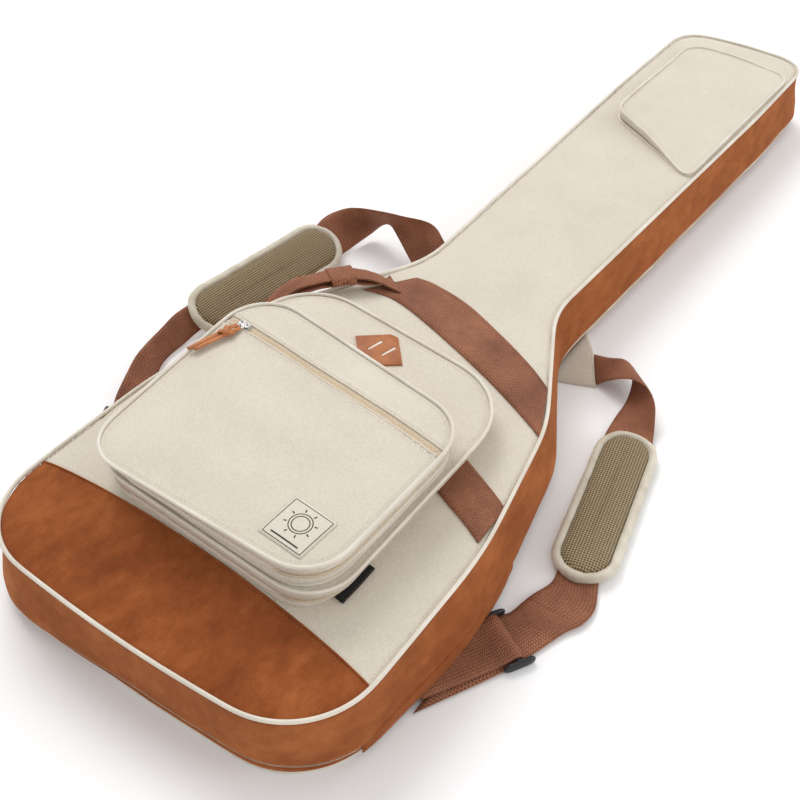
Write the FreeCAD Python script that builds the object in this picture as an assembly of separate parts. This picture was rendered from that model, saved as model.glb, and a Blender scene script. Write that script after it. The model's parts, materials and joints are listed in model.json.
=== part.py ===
import FreeCAD, Part
import os
from math import atan2, hypot, tan

os.makedirs("parts", exist_ok=True)

# A padded gig bag lying on its back. Millimetres. The origin is on the back panel's outer face, at the
# middle of the bag's bottom end. +Y runs to the head end, +Z out of the front.

# Heights of the layers
BACK = 2.0
BACK_FOAM_TOP = 13.0
BACK_LINING_TOP = 14.0
LOWER_TAPE_TOP = 14.4
UPPER_TAPE_BASE = 15.6
GUSSET_BASE = 20.0
GUSSET_TOP = 78.0
LINING_BASE = 67.0
FRONT_FOAM_BASE = 68.0
FRONT_BASE = 79.0
FRONT = 81.0
PIPING_TOP = 83.0

# Offsets from the plan outline, positive outwards
BACK_EDGE = 6.0
PIPING_OUT = 8.0
WALL_OUT = 4.5
WALL_IN = 3.0
FOAM_OUT = 2.5
FOAM_IN = -6.0
LINING_IN = -7.0
FRONT_PIPING_OUT = 6.0

# Right half of the plan outline, from the bottom to the head: x, y and corner radius
HALF_OUTLINE = [
    (190.0, 10.0, 78.0),
    (188.0, 235.0, 400.0),
    (155.0, 400.0, 200.0),
    (76.0, 552.0, 120.0),
    (89.0, 1060.0, 1500.0),
    (88.0, 1227.0, 38.0),
]
BOTTOM_MIDDLE = (0.0, -1.0, 1500.0)
TOP_MIDDLE = (0.0, 1236.0, 400.0)

# Zip and hinge along the main wall
HINGE_SPAN = (62.0, 292.0)
NECK_TRACK_START = (-76.0, 552.0)
NECK_TRACK_END = (-89.0, 1060.0)
MAIN_SLIDER_PLACES = (720.0, 860.0)

# The straight left shoulder, and how far out of it the back handle's fold line lies
SHOULDER_LINE = ((-155.0, 400.0), (-76.0, 552.0))
HANDLE_LINE_OUT = 9.2

# Top seam of the suede strip across the bottom of the front, an arch that drops to the right
SEAM_REACH = 230.0
SEAM_LEFT_Y = 97.0
SEAM_MIDDLE_Y = 102.0
SEAM_RIGHT_Y = 74.0

# Pocket plans, whose tops slope down to the right: x, y and corner radius
ORGANIZER = [
    (-135.0, 108.0, 42.0),
    (131.0, 94.0, 42.0),
    (131.0, 388.0, 75.0),
    (-148.0, 420.0, 60.0),
]
ORGANIZER_SPLIT = 95.0
ORGANIZER_FACE = 110.0
ORGANIZER_TOP = 112.0
POCKET = [
    (-126.0, 97.0, 40.0),
    (126.0, 97.0, 40.0),
    (129.0, 308.0, 48.0),
    (-144.0, 352.0, 42.0),
]
POCKET_SPLIT = 125.0
POCKET_FACE = 138.0
POCKET_TOP = 140.0
POCKET_WALL = 2.0
SPLIT_GAP = 0.6
FACE_ZIP_LEFT = (-129.0, 299.0)
FACE_ZIP_RIGHT = (120.0, 267.0)
FACE_ZIP_WIDTH = 26.0

# Head pocket, a plan with a slanted mouth: x, y and corner radius
HEAD_POCKET = [
    (-54.0, 946.0, 30.0),
    (81.0, 869.0, 6.0),
    (85.0, 1182.0, 20.0),
    (-60.0, 1180.0, 28.0),
]
HEAD_SPLIT = 86.0
HEAD_FACE = 91.0
HEAD_TOP = 93.0

# Webbing
WEB = 50.0
WEB_THICK = 2.5
STRAP_BASE = 3.0
PAD_HEIGHT = 13.0
PAD_MESH_HEIGHT = 15.0
PAD_MESH_INSET = 9.0

nodes = {}


def unit(x, y):
    length = hypot(x, y)
    return (x / length, y / length)


def moved_corners(corners, offset):
    """Move a counter-clockwise rounded polygon outwards by an offset."""
    moved = []
    count = len(corners)
    for index, (x, y, radius) in enumerate(corners):
        before = corners[index - 1]
        after = corners[(index + 1) % count]
        a = unit(x - before[0], y - before[1])
        b = unit(after[0] - x, after[1] - y)
        turn = a[0] * b[1] - a[1] * b[0]
        along = 1.0 + a[0] * b[0] + a[1] * b[1]
        shift_x = offset * (a[1] + b[1]) / along
        shift_y = -offset * (a[0] + b[0]) / along
        grown = radius + offset if turn > 0 else radius - offset
        moved.append((x + shift_x, y + shift_y, max(grown, 0.0)))
    return moved


def rounded_face(corners, height):
    """A flat face whose corners are tangent arcs."""
    edges = []
    count = len(corners)
    starts = []
    ends = []
    middles = []
    for index, (x, y, radius) in enumerate(corners):
        before = corners[index - 1]
        after = corners[(index + 1) % count]
        a = unit(x - before[0], y - before[1])
        b = unit(after[0] - x, after[1] - y)
        turn = atan2(a[0] * b[1] - a[1] * b[0], a[0] * b[0] + a[1] * b[1])
        reach = radius * abs(tan(turn / 2))
        start = FreeCAD.Vector(x - a[0] * reach, y - a[1] * reach, height)
        end = FreeCAD.Vector(x + b[0] * reach, y + b[1] * reach, height)
        side = 1.0 if turn > 0 else -1.0
        centre = FreeCAD.Vector(start.x - a[1] * radius * side, start.y + a[0] * radius * side, height)
        inward = unit(x - centre.x, y - centre.y) if radius else (0.0, 0.0)
        middle = centre + FreeCAD.Vector(inward[0] * radius, inward[1] * radius, 0)
        starts.append(start)
        ends.append(end)
        middles.append(middle)
    for index in range(count):
        if corners[index][2]:
            edges.append(Part.Arc(starts[index], middles[index], ends[index]).toShape())
        edges.append(Part.LineSegment(ends[index], starts[(index + 1) % count]).toShape())
    return Part.Face(Part.Wire(edges))


def slab(corners, low, high):
    return rounded_face(corners, low).extrude(FreeCAD.Vector(0, 0, high - low))


def ring(corners, inner, outer, low, high):
    outside = slab(moved_corners(corners, outer), low, high)
    return outside.cut(slab(moved_corners(corners, inner), low - 1, high + 1))


def polygon(points, low, high):
    return slab([(x, y, 0.0) for x, y in points], low, high)


def block(x0, x1, y0, y1, z0, z1):
    return Part.makeBox(x1 - x0, y1 - y0, z1 - z0, FreeCAD.Vector(x0, y0, z0))


def turned_block(centre, direction, length, width, low, high):
    """A block whose length lies along a plan direction."""
    ux, uy = unit(*direction)
    points = []
    for along, across in ((-1, -1), (1, -1), (1, 1), (-1, 1)):
        x = centre[0] + ux * along * length / 2 - uy * across * width / 2
        y = centre[1] + uy * along * length / 2 + ux * across * width / 2
        points.append((x, y))
    return polygon(points, low, high)


def ribbon(route, width, low, high):
    """Flat webbing along a plan route, with a round turn at each inner point."""
    solid = None
    for start, end in zip(route, route[1:]):
        middle = ((start[0] + end[0]) / 2, (start[1] + end[1]) / 2)
        step = (end[0] - start[0], end[1] - start[1])
        piece = turned_block(middle, step, hypot(*step), width, low, high)
        solid = piece if solid is None else solid.fuse(piece)
    for x, y in route[1:-1]:
        turn = Part.makeCylinder(width / 2, high - low, FreeCAD.Vector(x, y, low))
        solid = solid.fuse(turn)
    return solid.removeSplitter()


def keep(name, shape):
    nodes[name] = shape


def plan_outline():
    left = [(-x, y, radius) for x, y, radius in reversed(HALF_OUTLINE)]
    return [BOTTOM_MIDDLE] + HALF_OUTLINE + [TOP_MIDDLE] + left


OUTLINE = plan_outline()


# Shell: the shallow back half

def make_shell():
    keep("back_panel", slab(moved_corners(OUTLINE, BACK_EDGE), 0, BACK))
    keep("back_foam", slab(moved_corners(OUTLINE, FOAM_OUT), BACK, BACK_FOAM_TOP))
    keep("back_lining", slab(moved_corners(OUTLINE, FOAM_OUT), BACK_FOAM_TOP, BACK_LINING_TOP))
    keep("back_piping", ring(OUTLINE, WALL_OUT, PIPING_OUT, BACK, BACK + 4))
    tape = ring(OUTLINE, WALL_IN, WALL_OUT, BACK, LOWER_TAPE_TOP)
    hinge_zone = block(150, 220, HINGE_SPAN[0], HINGE_SPAN[1], 0, 20)
    keep("main_zip_tape_lower", tape.cut(hinge_zone))
    keep("hinge_tape", tape.common(hinge_zone))
    cradle = block(-66, 66, 590, 680, BACK_LINING_TOP, 38)
    trough = block(-34, 34, 580, 690, 28, 60)
    keep("neck_cradle", cradle.cut(trough))


# Cover: the deep front half, which carries the pockets

def gusset_foam_pieces():
    """The foam wall as strips, because it is sewn up from straight lengths."""
    wall = ring(OUTLINE, FOAM_IN, FOAM_OUT, UPPER_TAPE_BASE + 1, FRONT_BASE)
    spans = (
        (-20, 90), (90, 300), (300, 380), (380, 460), (460, 540), (540, 620),
        (620, 840), (840, 1060), (1060, 1180), (1180, 1260),
    )
    joint = 0.3
    pieces = []
    for low, high in spans:
        columns = [(-230, 0), (0, 230)]
        if low < 0:
            columns = [
                (-230, -170), (-170, -145), (-145, -112), (-112, 112),
                (112, 145), (145, 170), (170, 230),
            ]
        if high > 1200:
            columns = [(-230, -48), (-48, 48), (48, 230)]
        for left, right in columns:
            zone = block(left + joint, right - joint, low + joint, high - joint, 0, 100)
            pieces.extend(wall.common(zone).Solids)
    return Part.makeCompound(pieces)


def seam_region():
    """The area below the suede panel's curved top seam."""
    left = FreeCAD.Vector(-SEAM_REACH, SEAM_LEFT_Y, 60)
    middle = FreeCAD.Vector(0, SEAM_MIDDLE_Y, 60)
    right = FreeCAD.Vector(SEAM_REACH, SEAM_RIGHT_Y, 60)
    seam = Part.Arc(left, middle, right).toShape()
    low_right = FreeCAD.Vector(SEAM_REACH, -40, 60)
    low_left = FreeCAD.Vector(-SEAM_REACH, -40, 60)
    sides = [
        Part.LineSegment(right, low_right).toShape(),
        Part.LineSegment(low_right, low_left).toShape(),
        Part.LineSegment(low_left, left).toShape(),
    ]
    return Part.Face(Part.Wire([seam] + sides)).extrude(FreeCAD.Vector(0, 0, 40))


def make_cover():
    panel = slab(moved_corners(OUTLINE, FOAM_OUT), FRONT_BASE, FRONT)
    keep("front_panel", panel.cut(seam_region()))
    keep("front_base_panel", panel.common(seam_region()))
    keep("front_foam", slab(moved_corners(OUTLINE, FOAM_IN - 0.3), FRONT_FOAM_BASE, FRONT_BASE))
    keep("front_lining", slab(moved_corners(OUTLINE, LINING_IN), LINING_BASE, FRONT_FOAM_BASE))
    keep("front_piping", ring(OUTLINE, FOAM_OUT, FRONT_PIPING_OUT, GUSSET_TOP, PIPING_TOP))
    keep("side_gusset", ring(OUTLINE, WALL_IN, WALL_OUT, GUSSET_BASE, GUSSET_TOP))
    keep("gusset_foam", gusset_foam_pieces())
    keep("gusset_lining", ring(OUTLINE, LINING_IN, FOAM_IN - 0.2, UPPER_TAPE_BASE + 1, LINING_BASE))
    keep("main_zip_tape_upper", ring(OUTLINE, WALL_IN, WALL_OUT, UPPER_TAPE_BASE, GUSSET_BASE))


# Webbing bands across the front and the plain woven tab

def make_bands():
    inside = slab(moved_corners(OUTLINE, FOAM_OUT - 0.5), 0, 200)
    upper = ribbon([(-112, 498), (-20, 474), (60, 444), (190, 390)], WEB, FRONT, FRONT + 2)
    keep("web_band_upper", upper.common(inside))
    lower = polygon([(190, 286), (132.5, 311), (132.5, 263), (190, 238)], FRONT, FRONT + 2)
    keep("web_band_lower", lower.common(inside))
    keep("woven_tab", turned_block((136.5, 147), (1, -43), 43, 7, FRONT, FRONT + 1.5))


# Pockets

def pocket_walls(prefix, corners, base, split, face):
    keep(prefix + "_base_wall", ring(corners, -POCKET_WALL, 0, base, split))
    keep(prefix + "_wall", ring(corners, -POCKET_WALL, 0, split + SPLIT_GAP, face))


def make_organizer():
    pocket_walls("organizer", ORGANIZER, FRONT, ORGANIZER_SPLIT, ORGANIZER_FACE)
    keep("organizer_face", slab(ORGANIZER, ORGANIZER_FACE, ORGANIZER_TOP))
    cord = ring(ORGANIZER, 0, 3, ORGANIZER_FACE - 1, ORGANIZER_TOP + 1.5)
    keep("organizer_piping", cord.cut(slab(moved_corners(POCKET, 0.3), ORGANIZER_TOP, ORGANIZER_TOP + 5)))
    patch = [(-43, 372), (-29, 357), (2, 351), (19, 364), (-8, 395), (-17, 395)]
    hexagon = polygon(patch, ORGANIZER_TOP, ORGANIZER_TOP + 2)
    for x in (-19, -3):
        slit = turned_block((x, 372), (0.25, 1), 18, 3, ORGANIZER_TOP - 1, ORGANIZER_TOP + 4)
        hexagon = hexagon.cut(slit)
    keep("lash_tab", hexagon)


def make_front_pocket():
    pocket_walls("pocket", POCKET, ORGANIZER_TOP, POCKET_SPLIT, POCKET_FACE)
    face = slab(POCKET, POCKET_FACE, POCKET_TOP)
    run = (FACE_ZIP_RIGHT[0] - FACE_ZIP_LEFT[0], FACE_ZIP_RIGHT[1] - FACE_ZIP_LEFT[1])
    middle = (
        (FACE_ZIP_LEFT[0] + FACE_ZIP_RIGHT[0]) / 2,
        (FACE_ZIP_LEFT[1] + FACE_ZIP_RIGHT[1]) / 2,
    )
    zip_zone = turned_block(middle, run, 400, FACE_ZIP_WIDTH, POCKET_FACE - 5, POCKET_TOP + 5)
    keep("face_zip_tape", face.common(zip_zone))
    halves = sorted(face.cut(zip_zone).Solids, key=lambda solid: solid.CenterOfMass.y)
    keep("pocket_face", halves[0])
    keep("pocket_face_upper", halves[1])
    keep("pocket_piping", ring(POCKET, 0, 3, POCKET_FACE - 1, POCKET_TOP + 1.5))
    keep("label_patch", turned_block((82, 132), (1, -0.07), 45, 45, POCKET_TOP, POCKET_TOP + 1))


def make_head_pocket():
    keep("head_pocket_base_wall", ring(HEAD_POCKET, -POCKET_WALL, 0, FRONT, HEAD_SPLIT - SPLIT_GAP))
    keep("head_pocket_wall", ring(HEAD_POCKET, -POCKET_WALL, 0, HEAD_SPLIT, HEAD_FACE))
    keep("head_pocket_face", slab(HEAD_POCKET, HEAD_FACE, HEAD_TOP))
    keep("head_pocket_piping", ring(HEAD_POCKET, 0, 2.5, HEAD_FACE - 1, HEAD_TOP + 1))


# Zip sliders and their pulls

def make_face_slider():
    along = unit(FACE_ZIP_RIGHT[0] - FACE_ZIP_LEFT[0], FACE_ZIP_RIGHT[1] - FACE_ZIP_LEFT[1])
    centre = (FACE_ZIP_LEFT[0] + 12 * along[0], FACE_ZIP_LEFT[1] + 12 * along[1])
    low = POCKET_TOP + 0.4
    keep("face_zip_slider", turned_block(centre, along, 14, 9, low, low + 3.6))
    pull_way = unit(-0.25, -0.97)
    pull_centre = (centre[0] + pull_way[0] * 36, centre[1] + pull_way[1] * 36)
    keep("face_zip_pull", turned_block(pull_centre, pull_way, 56, 13, low + 1.6, low + 5.1))


def left_edge_point(y, out):
    """A point outside the front pocket's left wall."""
    low = POCKET[0]
    high = POCKET[3]
    share = (y - low[1]) / (high[1] - low[1])
    return (low[0] + share * (high[0] - low[0]) - out, y)


def make_side_slider():
    """A slider on the perimeter zip of the front pocket, with its pull lying along the wall."""
    along = (POCKET[0][0] - POCKET[3][0], POCKET[0][1] - POCKET[3][1])
    low = POCKET_SPLIT - 4.7
    keep("side_zip_slider", turned_block(left_edge_point(235, 2.6), along, 14, 4, low, low + 10))
    keep("side_zip_pull", turned_block(left_edge_point(197, 6.8), along, 58, 3.5, low, low + 10))


def make_main_slider(name, place):
    """A slider on the straight zip track of the left neck wall, with its pull hanging along the tape."""
    share = (place - NECK_TRACK_START[1]) / (NECK_TRACK_END[1] - NECK_TRACK_START[1])
    x = NECK_TRACK_START[0] + share * (NECK_TRACK_END[0] - NECK_TRACK_START[0])
    along = (NECK_TRACK_END[0] - NECK_TRACK_START[0], NECK_TRACK_END[1] - NECK_TRACK_START[1])
    plate_x = x - WALL_OUT - 2.6
    plate = turned_block((plate_x, place), along, 16, 3.0, 8.5, 21.5)
    post = turned_block((x - WALL_OUT - 0.2, place), along, 8, 3.4, 14.7, 15.3)
    keep(name, plate.fuse(post))
    keep(name + "_pull", turned_block((plate_x - 3.2, place - 24), along, 44, 2.6, 9.5, 20.5))


# Carry handles

def make_handles():
    front = polygon([(-151, 426), (-138, 408), (-76, 478), (-97, 503)], FRONT + 2.6, FRONT + 8)
    keep("handle_front", front)
    wrap = turned_block((-113, 455), (58, 68), 34, 24, FRONT + 8, FRONT + 11)
    keep("handle_wrap", wrap)
    back = ribbon([(-146, 418), (-182, 450), (-150, 512), (-100, 514)], 24, 3.0, 7.0)
    way = unit(SHOULDER_LINE[1][0] - SHOULDER_LINE[0][0], SHOULDER_LINE[1][1] - SHOULDER_LINE[0][1])
    middle = (
        (SHOULDER_LINE[0][0] + SHOULDER_LINE[1][0]) / 2 + way[1] * (200 - HANDLE_LINE_OUT),
        (SHOULDER_LINE[0][1] + SHOULDER_LINE[1][1]) / 2 - way[0] * (200 - HANDLE_LINE_OUT),
    )
    inside = turned_block(middle, way, 400, 400, -5, 60)
    edge = slab(moved_corners(OUTLINE, PIPING_OUT + 0.7), -5, 60)
    keep("handle_back", back.cut(inside).cut(edge))


# Shoulder straps, pads and adjusters

def pad_corners(centre, direction, length, width, inset):
    ux, uy = unit(*direction)
    half_length = length / 2 - inset
    half_width = width / 2 - inset
    corners = []
    for along, across in ((-1, -1), (1, -1), (1, 1), (-1, 1)):
        x = centre[0] + ux * along * half_length - uy * across * half_width
        y = centre[1] + uy * along * half_length + ux * across * half_width
        corners.append((x, y, half_width - 0.5))
    return corners


def adjuster(centre, direction):
    """A tri-glide: side rails, two low bars and a raised middle bar, with the strap running through."""
    rail = 3.0
    inner = WEB / 2 + 0.8
    ux, uy = unit(*direction)
    solid = None
    for side in (-1, 1):
        place = (centre[0] - uy * side * (inner + rail / 2), centre[1] + ux * side * (inner + rail / 2))
        rail_block = turned_block(place, direction, 30, rail, 0.5, 9.4)
        solid = rail_block if solid is None else solid.fuse(rail_block)
    for along, low, high in ((-13, 0.5, 2.6), (0, 8.4, 9.4), (13, 0.5, 2.6)):
        place = (centre[0] + ux * along, centre[1] + uy * along)
        solid = solid.fuse(turned_block(place, direction, 4, 2 * inner + rail, low, high))
    return solid.removeSplitter()


def make_straps(side, tab, upper, pad_centre, pad_way, pad_size, lower, glide, glide_way):
    edge = slab(moved_corners(OUTLINE, PIPING_OUT + 0.2), -5, 60)
    strap_top = STRAP_BASE + WEB_THICK
    keep("strap_tab_" + side, polygon(tab, 0.4, STRAP_BASE).cut(edge))
    pad = pad_corners(pad_centre, pad_way, pad_size[0], pad_size[1], 0)
    pad_solid = slab(pad, 0.4, PAD_HEIGHT)
    keep("strap_upper_" + side, ribbon(upper, WEB, STRAP_BASE, strap_top).cut(edge).cut(pad_solid))
    keep("shoulder_pad_" + side, pad_solid)
    mesh = pad_corners(pad_centre, pad_way, pad_size[0], pad_size[1], PAD_MESH_INSET)
    keep("pad_mesh_" + side, slab(mesh, PAD_HEIGHT, PAD_MESH_HEIGHT))
    keep("strap_lower_" + side, ribbon(lower, WEB, STRAP_BASE, strap_top).cut(edge).cut(pad_solid))
    ux, uy = unit(*glide_way)
    tail_end = (glide[0] - ux * 8, glide[1] - uy * 8)
    tail_start = (glide[0] - ux * 92, glide[1] - uy * 92)
    tail = ribbon([tail_end, tail_start], WEB - 2, strap_top, strap_top + 2)
    keep("strap_tail_" + side, tail.cut(edge))
    keep("adjuster_" + side, adjuster(glide, glide_way))


def make_all():
    make_shell()
    make_cover()
    make_bands()
    make_organizer()
    make_front_pocket()
    make_head_pocket()
    make_face_slider()
    make_side_slider()
    make_main_slider("main_slider_a", MAIN_SLIDER_PLACES[0])
    make_main_slider("main_slider_b", MAIN_SLIDER_PLACES[1])
    make_handles()
    make_straps(
        "right",
        [(78, 540), (136, 559), (106, 608), (78, 632)],
        [(92, 580), (165, 578), (198, 548), (203, 500)],
        (225, 411), (0.215, -0.977), (203, 66),
        [(243, 330), (254, 268), (178, 135)],
        (228, 222), (0.496, 0.868),
    )
    make_straps(
        "left",
        [(-78, 560), (-78, 650), (-112, 640), (-122, 594)],
        [(-92, 602), (-185, 645), (-232, 622), (-252, 585)],
        (-264, 484), (0.122, 0.993), (218, 76),
        [(-277, 380), (-266, 320), (-260, 278), (-178, 130)],
        (-234, 231), (-0.485, 0.875),
    )


make_all()
for node_name, node_shape in nodes.items():
    node_shape.exportStep("parts/" + node_name + ".step")
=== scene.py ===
import bpy
import json
import math
from mathutils import Matrix, Vector, kdtree, noise

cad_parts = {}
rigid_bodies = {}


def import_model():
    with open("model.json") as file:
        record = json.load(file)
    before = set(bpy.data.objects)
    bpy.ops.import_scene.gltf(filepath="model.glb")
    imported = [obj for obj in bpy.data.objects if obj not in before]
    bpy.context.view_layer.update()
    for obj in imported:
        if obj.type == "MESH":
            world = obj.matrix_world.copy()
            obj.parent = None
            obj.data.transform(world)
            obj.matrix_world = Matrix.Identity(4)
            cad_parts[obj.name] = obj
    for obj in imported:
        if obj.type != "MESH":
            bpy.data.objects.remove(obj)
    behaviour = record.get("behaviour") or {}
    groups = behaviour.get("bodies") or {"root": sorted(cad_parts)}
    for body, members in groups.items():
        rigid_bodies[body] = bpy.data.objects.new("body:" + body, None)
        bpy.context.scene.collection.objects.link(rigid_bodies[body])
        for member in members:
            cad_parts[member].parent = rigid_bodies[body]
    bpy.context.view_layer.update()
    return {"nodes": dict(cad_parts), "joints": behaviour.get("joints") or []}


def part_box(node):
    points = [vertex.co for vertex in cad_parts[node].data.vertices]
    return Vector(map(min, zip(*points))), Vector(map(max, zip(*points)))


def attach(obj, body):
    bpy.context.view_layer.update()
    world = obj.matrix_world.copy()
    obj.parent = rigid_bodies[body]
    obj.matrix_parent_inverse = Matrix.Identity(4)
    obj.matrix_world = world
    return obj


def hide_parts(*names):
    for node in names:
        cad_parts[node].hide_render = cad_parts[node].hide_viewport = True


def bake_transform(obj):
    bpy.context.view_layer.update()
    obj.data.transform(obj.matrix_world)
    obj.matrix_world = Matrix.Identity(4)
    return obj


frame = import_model()

MM = 0.001
UP = Vector((0, 0, 1))

# Heights, in metres, worked out from the frame
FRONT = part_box("front_panel")[1].z
LOWER_TAPE_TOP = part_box("main_zip_tape_lower")[1].z
UPPER_TAPE_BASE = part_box("main_zip_tape_upper")[0].z
LINING_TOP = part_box("back_lining")[1].z
COVER_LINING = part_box("front_lining")[0].z
ORGANIZER_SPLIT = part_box("organizer_base_wall")[1].z
ORGANIZER_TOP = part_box("organizer_face")[1].z
POCKET_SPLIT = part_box("pocket_base_wall")[1].z
POCKET_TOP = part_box("pocket_face")[1].z
HEAD_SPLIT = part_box("head_pocket_base_wall")[1].z
HEAD_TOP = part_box("head_pocket_face")[1].z

# Sizes that the sewing repeats
PIPING_RADIUS = 1.95 * MM
STITCH_PITCH = 4.2 * MM
FINE_STITCH = 0.6 * MM
SMALL_TEETH = 0.5 * MM
WALL_STEP = 4.5 * MM


# ---------------------------------------------------------------- plan curves

def plan_loop(node):
    """The outer edge of a CAD node's top face, as an ordered list of plan points."""
    mesh = frame["nodes"][node].data
    top = max(v.co.z for v in mesh.vertices)

    def key(index):
        co = mesh.vertices[index].co
        return (round(co.x, 5), round(co.y, 5))

    counts = {}
    for face in mesh.polygons:
        if all(abs(mesh.vertices[i].co.z - top) < 1e-5 for i in face.vertices):
            ids = list(face.vertices)
            for a, b in zip(ids, ids[1:] + ids[:1]):
                edge = (key(a), key(b))
                counts[edge] = counts.get(edge, 0) + 1
    following = {}
    for (a, b) in counts:
        if (b, a) not in counts:
            following.setdefault(a, []).append(b)
    best = []
    while following:
        start = next(iter(following))
        loop = [start]
        point = following.pop(start)[0]
        while point != start and point in following:
            loop.append(point)
            point = following.pop(point)[0]
        if len(loop) > len(best) or loop_span(loop) > loop_span(best):
            best = loop
    return [Vector((x, y)) for x, y in best]


def loop_span(loop):
    if not loop:
        return 0.0
    xs = [p[0] for p in loop]
    ys = [p[1] for p in loop]
    return (max(xs) - min(xs)) * (max(ys) - min(ys))


def resample(points, step, closed=True, smooth=4):
    """Evenly spaced points along a plan or space polyline, lightly smoothed."""
    pts = [p.copy() for p in points]
    if closed:
        pts.append(pts[0].copy())
    lengths = [0.0]
    for a, b in zip(pts, pts[1:]):
        lengths.append(lengths[-1] + (b - a).length)
    count = max(4, round(lengths[-1] / step))
    total = count if closed else count + 1
    out = []
    segment = 0
    for index in range(total):
        target = lengths[-1] * index / count
        while segment < len(pts) - 2 and lengths[segment + 1] < target:
            segment += 1
        span = lengths[segment + 1] - lengths[segment]
        share = (target - lengths[segment]) / span if span > 1e-12 else 0.0
        out.append(pts[segment].lerp(pts[segment + 1], share))
    for _ in range(smooth):
        last = len(out) - 1
        moved = []
        for index, p in enumerate(out):
            if not closed and index in (0, last):
                moved.append(p)
                continue
            before = out[index - 1]
            after = out[(index + 1) % len(out)]
            moved.append(p * 0.5 + (before + after) * 0.25)
        out = moved
    return out


def outward(points):
    """Outward unit normals of a closed counter-clockwise plan loop."""
    normals = []
    count = len(points)
    for index in range(count):
        along = points[(index + 1) % count] - points[index - 1]
        normals.append(Vector((along.y, -along.x)).normalized())
    return normals


def counter_clockwise(points):
    area = 0.0
    for a, b in zip(points, points[1:] + points[:1]):
        area += a.x * b.y - b.x * a.y
    return points if area > 0 else points[::-1]


def offset_loop(points, distance):
    return [p + n * distance for p, n in zip(points, outward(points))]


def plan_curve(node, offset=0.0, step=5 * MM):
    loop = counter_clockwise(plan_loop(node))
    return offset_loop(resample(loop, step), offset)


def spline(points, steps):
    """Catmull-Rom points through a list of vectors."""
    pts = [Vector(p) for p in points]
    ends = [pts[0] * 2 - pts[1]] + pts + [pts[-1] * 2 - pts[-2]]
    out = []
    for i in range(1, len(ends) - 2):
        a, b, c, d = ends[i - 1:i + 3]
        for k in range(steps):
            t = k / steps
            out.append(0.5 * (2 * b + (c - a) * t + (2 * a - 5 * b + 4 * c - d) * t * t
                              + (3 * b - a - 3 * c + d) * t ** 3))
    out.append(ends[-2])
    return out


def beside(p, n, push, z):
    """The space point at a height z that stands push outward of a plan point."""
    return Vector((p.x + n.x * push, p.y + n.y * push, z))


def on_surface(points, height, lift=0.0):
    """Space points on a surface above plan points."""
    return [Vector((p.x, p.y, height(p.x, p.y) + lift)) for p in points]


def longest_step(path):
    """The index of the point after the longest gap of a loop."""
    return max(range(len(path)), key=lambda i: (path[i] - path[i - 1]).length)


def smoothstep(low, high, value):
    t = min(1.0, max(0.0, (value - low) / (high - low)))
    return t * t * (3 - 2 * t)


def ripple(x, y, z, scale, seed=0.0):
    """Smooth noise from -1 to 1, with a feature size in metres."""
    return noise.noise(Vector((x / scale + seed, y / scale - seed, z / scale)))


# ---------------------------------------------------------------- meshes

def joint_of(name):
    return next(j for j in frame["joints"] if j["name"] == name)


def new_object(name, vertices, faces, material, uvs=None, smooth=True):
    mesh = bpy.data.meshes.new(name)
    mesh.from_pydata([tuple(v) for v in vertices], [], faces)
    mesh.validate()
    if uvs:
        layer = mesh.uv_layers.new(name="weave")
        for loop in mesh.loops:
            layer.data[loop.index].uv = uvs[loop.vertex_index]
    if smooth:
        mesh.polygons.foreach_set("use_smooth", [True] * len(mesh.polygons))
    mesh.materials.append(material)
    mesh.update()
    obj = bpy.data.objects.new(name, mesh)
    bpy.context.scene.collection.objects.link(obj)
    return obj


def finish_piece(obj, body, slot, *nodes):
    """Attach a piece to what it rides on and hide what it replaces. Its finish, slot, is not used. A blended
    piece has no body of its own.
    """
    if body:
        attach(obj, body)
    if nodes:
        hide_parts(*nodes)
    return obj


def sew(name, parts, material, body, slot, *nodes, uvs=None):
    """Make a piece of vertices and faces, and say what it rides on."""
    return finish_piece(new_object(name, *parts, material, uvs), body, slot, *nodes)


def loft(rows, closed_rows=False, closed_columns=True, flip=False):
    """Vertices and quads over a list of equally long rows."""
    width = len(rows[0])
    vertices = [v for row in rows for v in row]
    faces = []
    row_count = len(rows) if closed_rows else len(rows) - 1
    column_count = width if closed_columns else width - 1
    for r in range(row_count):
        for c in range(column_count):
            a = r * width + c
            b = r * width + (c + 1) % width
            d = ((r + 1) % len(rows)) * width + c
            e = ((r + 1) % len(rows)) * width + (c + 1) % width
            faces.append((a, d, e, b) if flip else (a, b, e, d))
    return vertices, faces


def wall(name, loop, profile, material, wrinkle, seed, tuck, drawn):
    """A wall round a plan loop. profile lists (outward offset, height) from the bottom up. tuck says how far
    a foot is drawn in at a point, and drawn is the share of it at the wall's bottom and top."""
    normals = outward(loop)
    rows = []
    for index, (offset, z) in enumerate(profile):
        share = index / (len(profile) - 1)
        belly = math.sin(math.pi * share)
        row = []
        for p, n in zip(loop, normals):
            push = offset + wrinkle * belly * ripple(p.x, p.y, z * 1.6, 0.055, seed)
            push += 0.5 * wrinkle * belly * ripple(p.x, p.y, z * 2.5, 0.02, seed + 5)
            push -= tuck(p, n) * (drawn[0] + (drawn[1] - drawn[0]) * share)
            row.append(beside(p, n, push, z))
        rows.append(row)
    vertices, faces = loft(rows)
    return new_object(name, vertices, faces, material)


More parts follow.
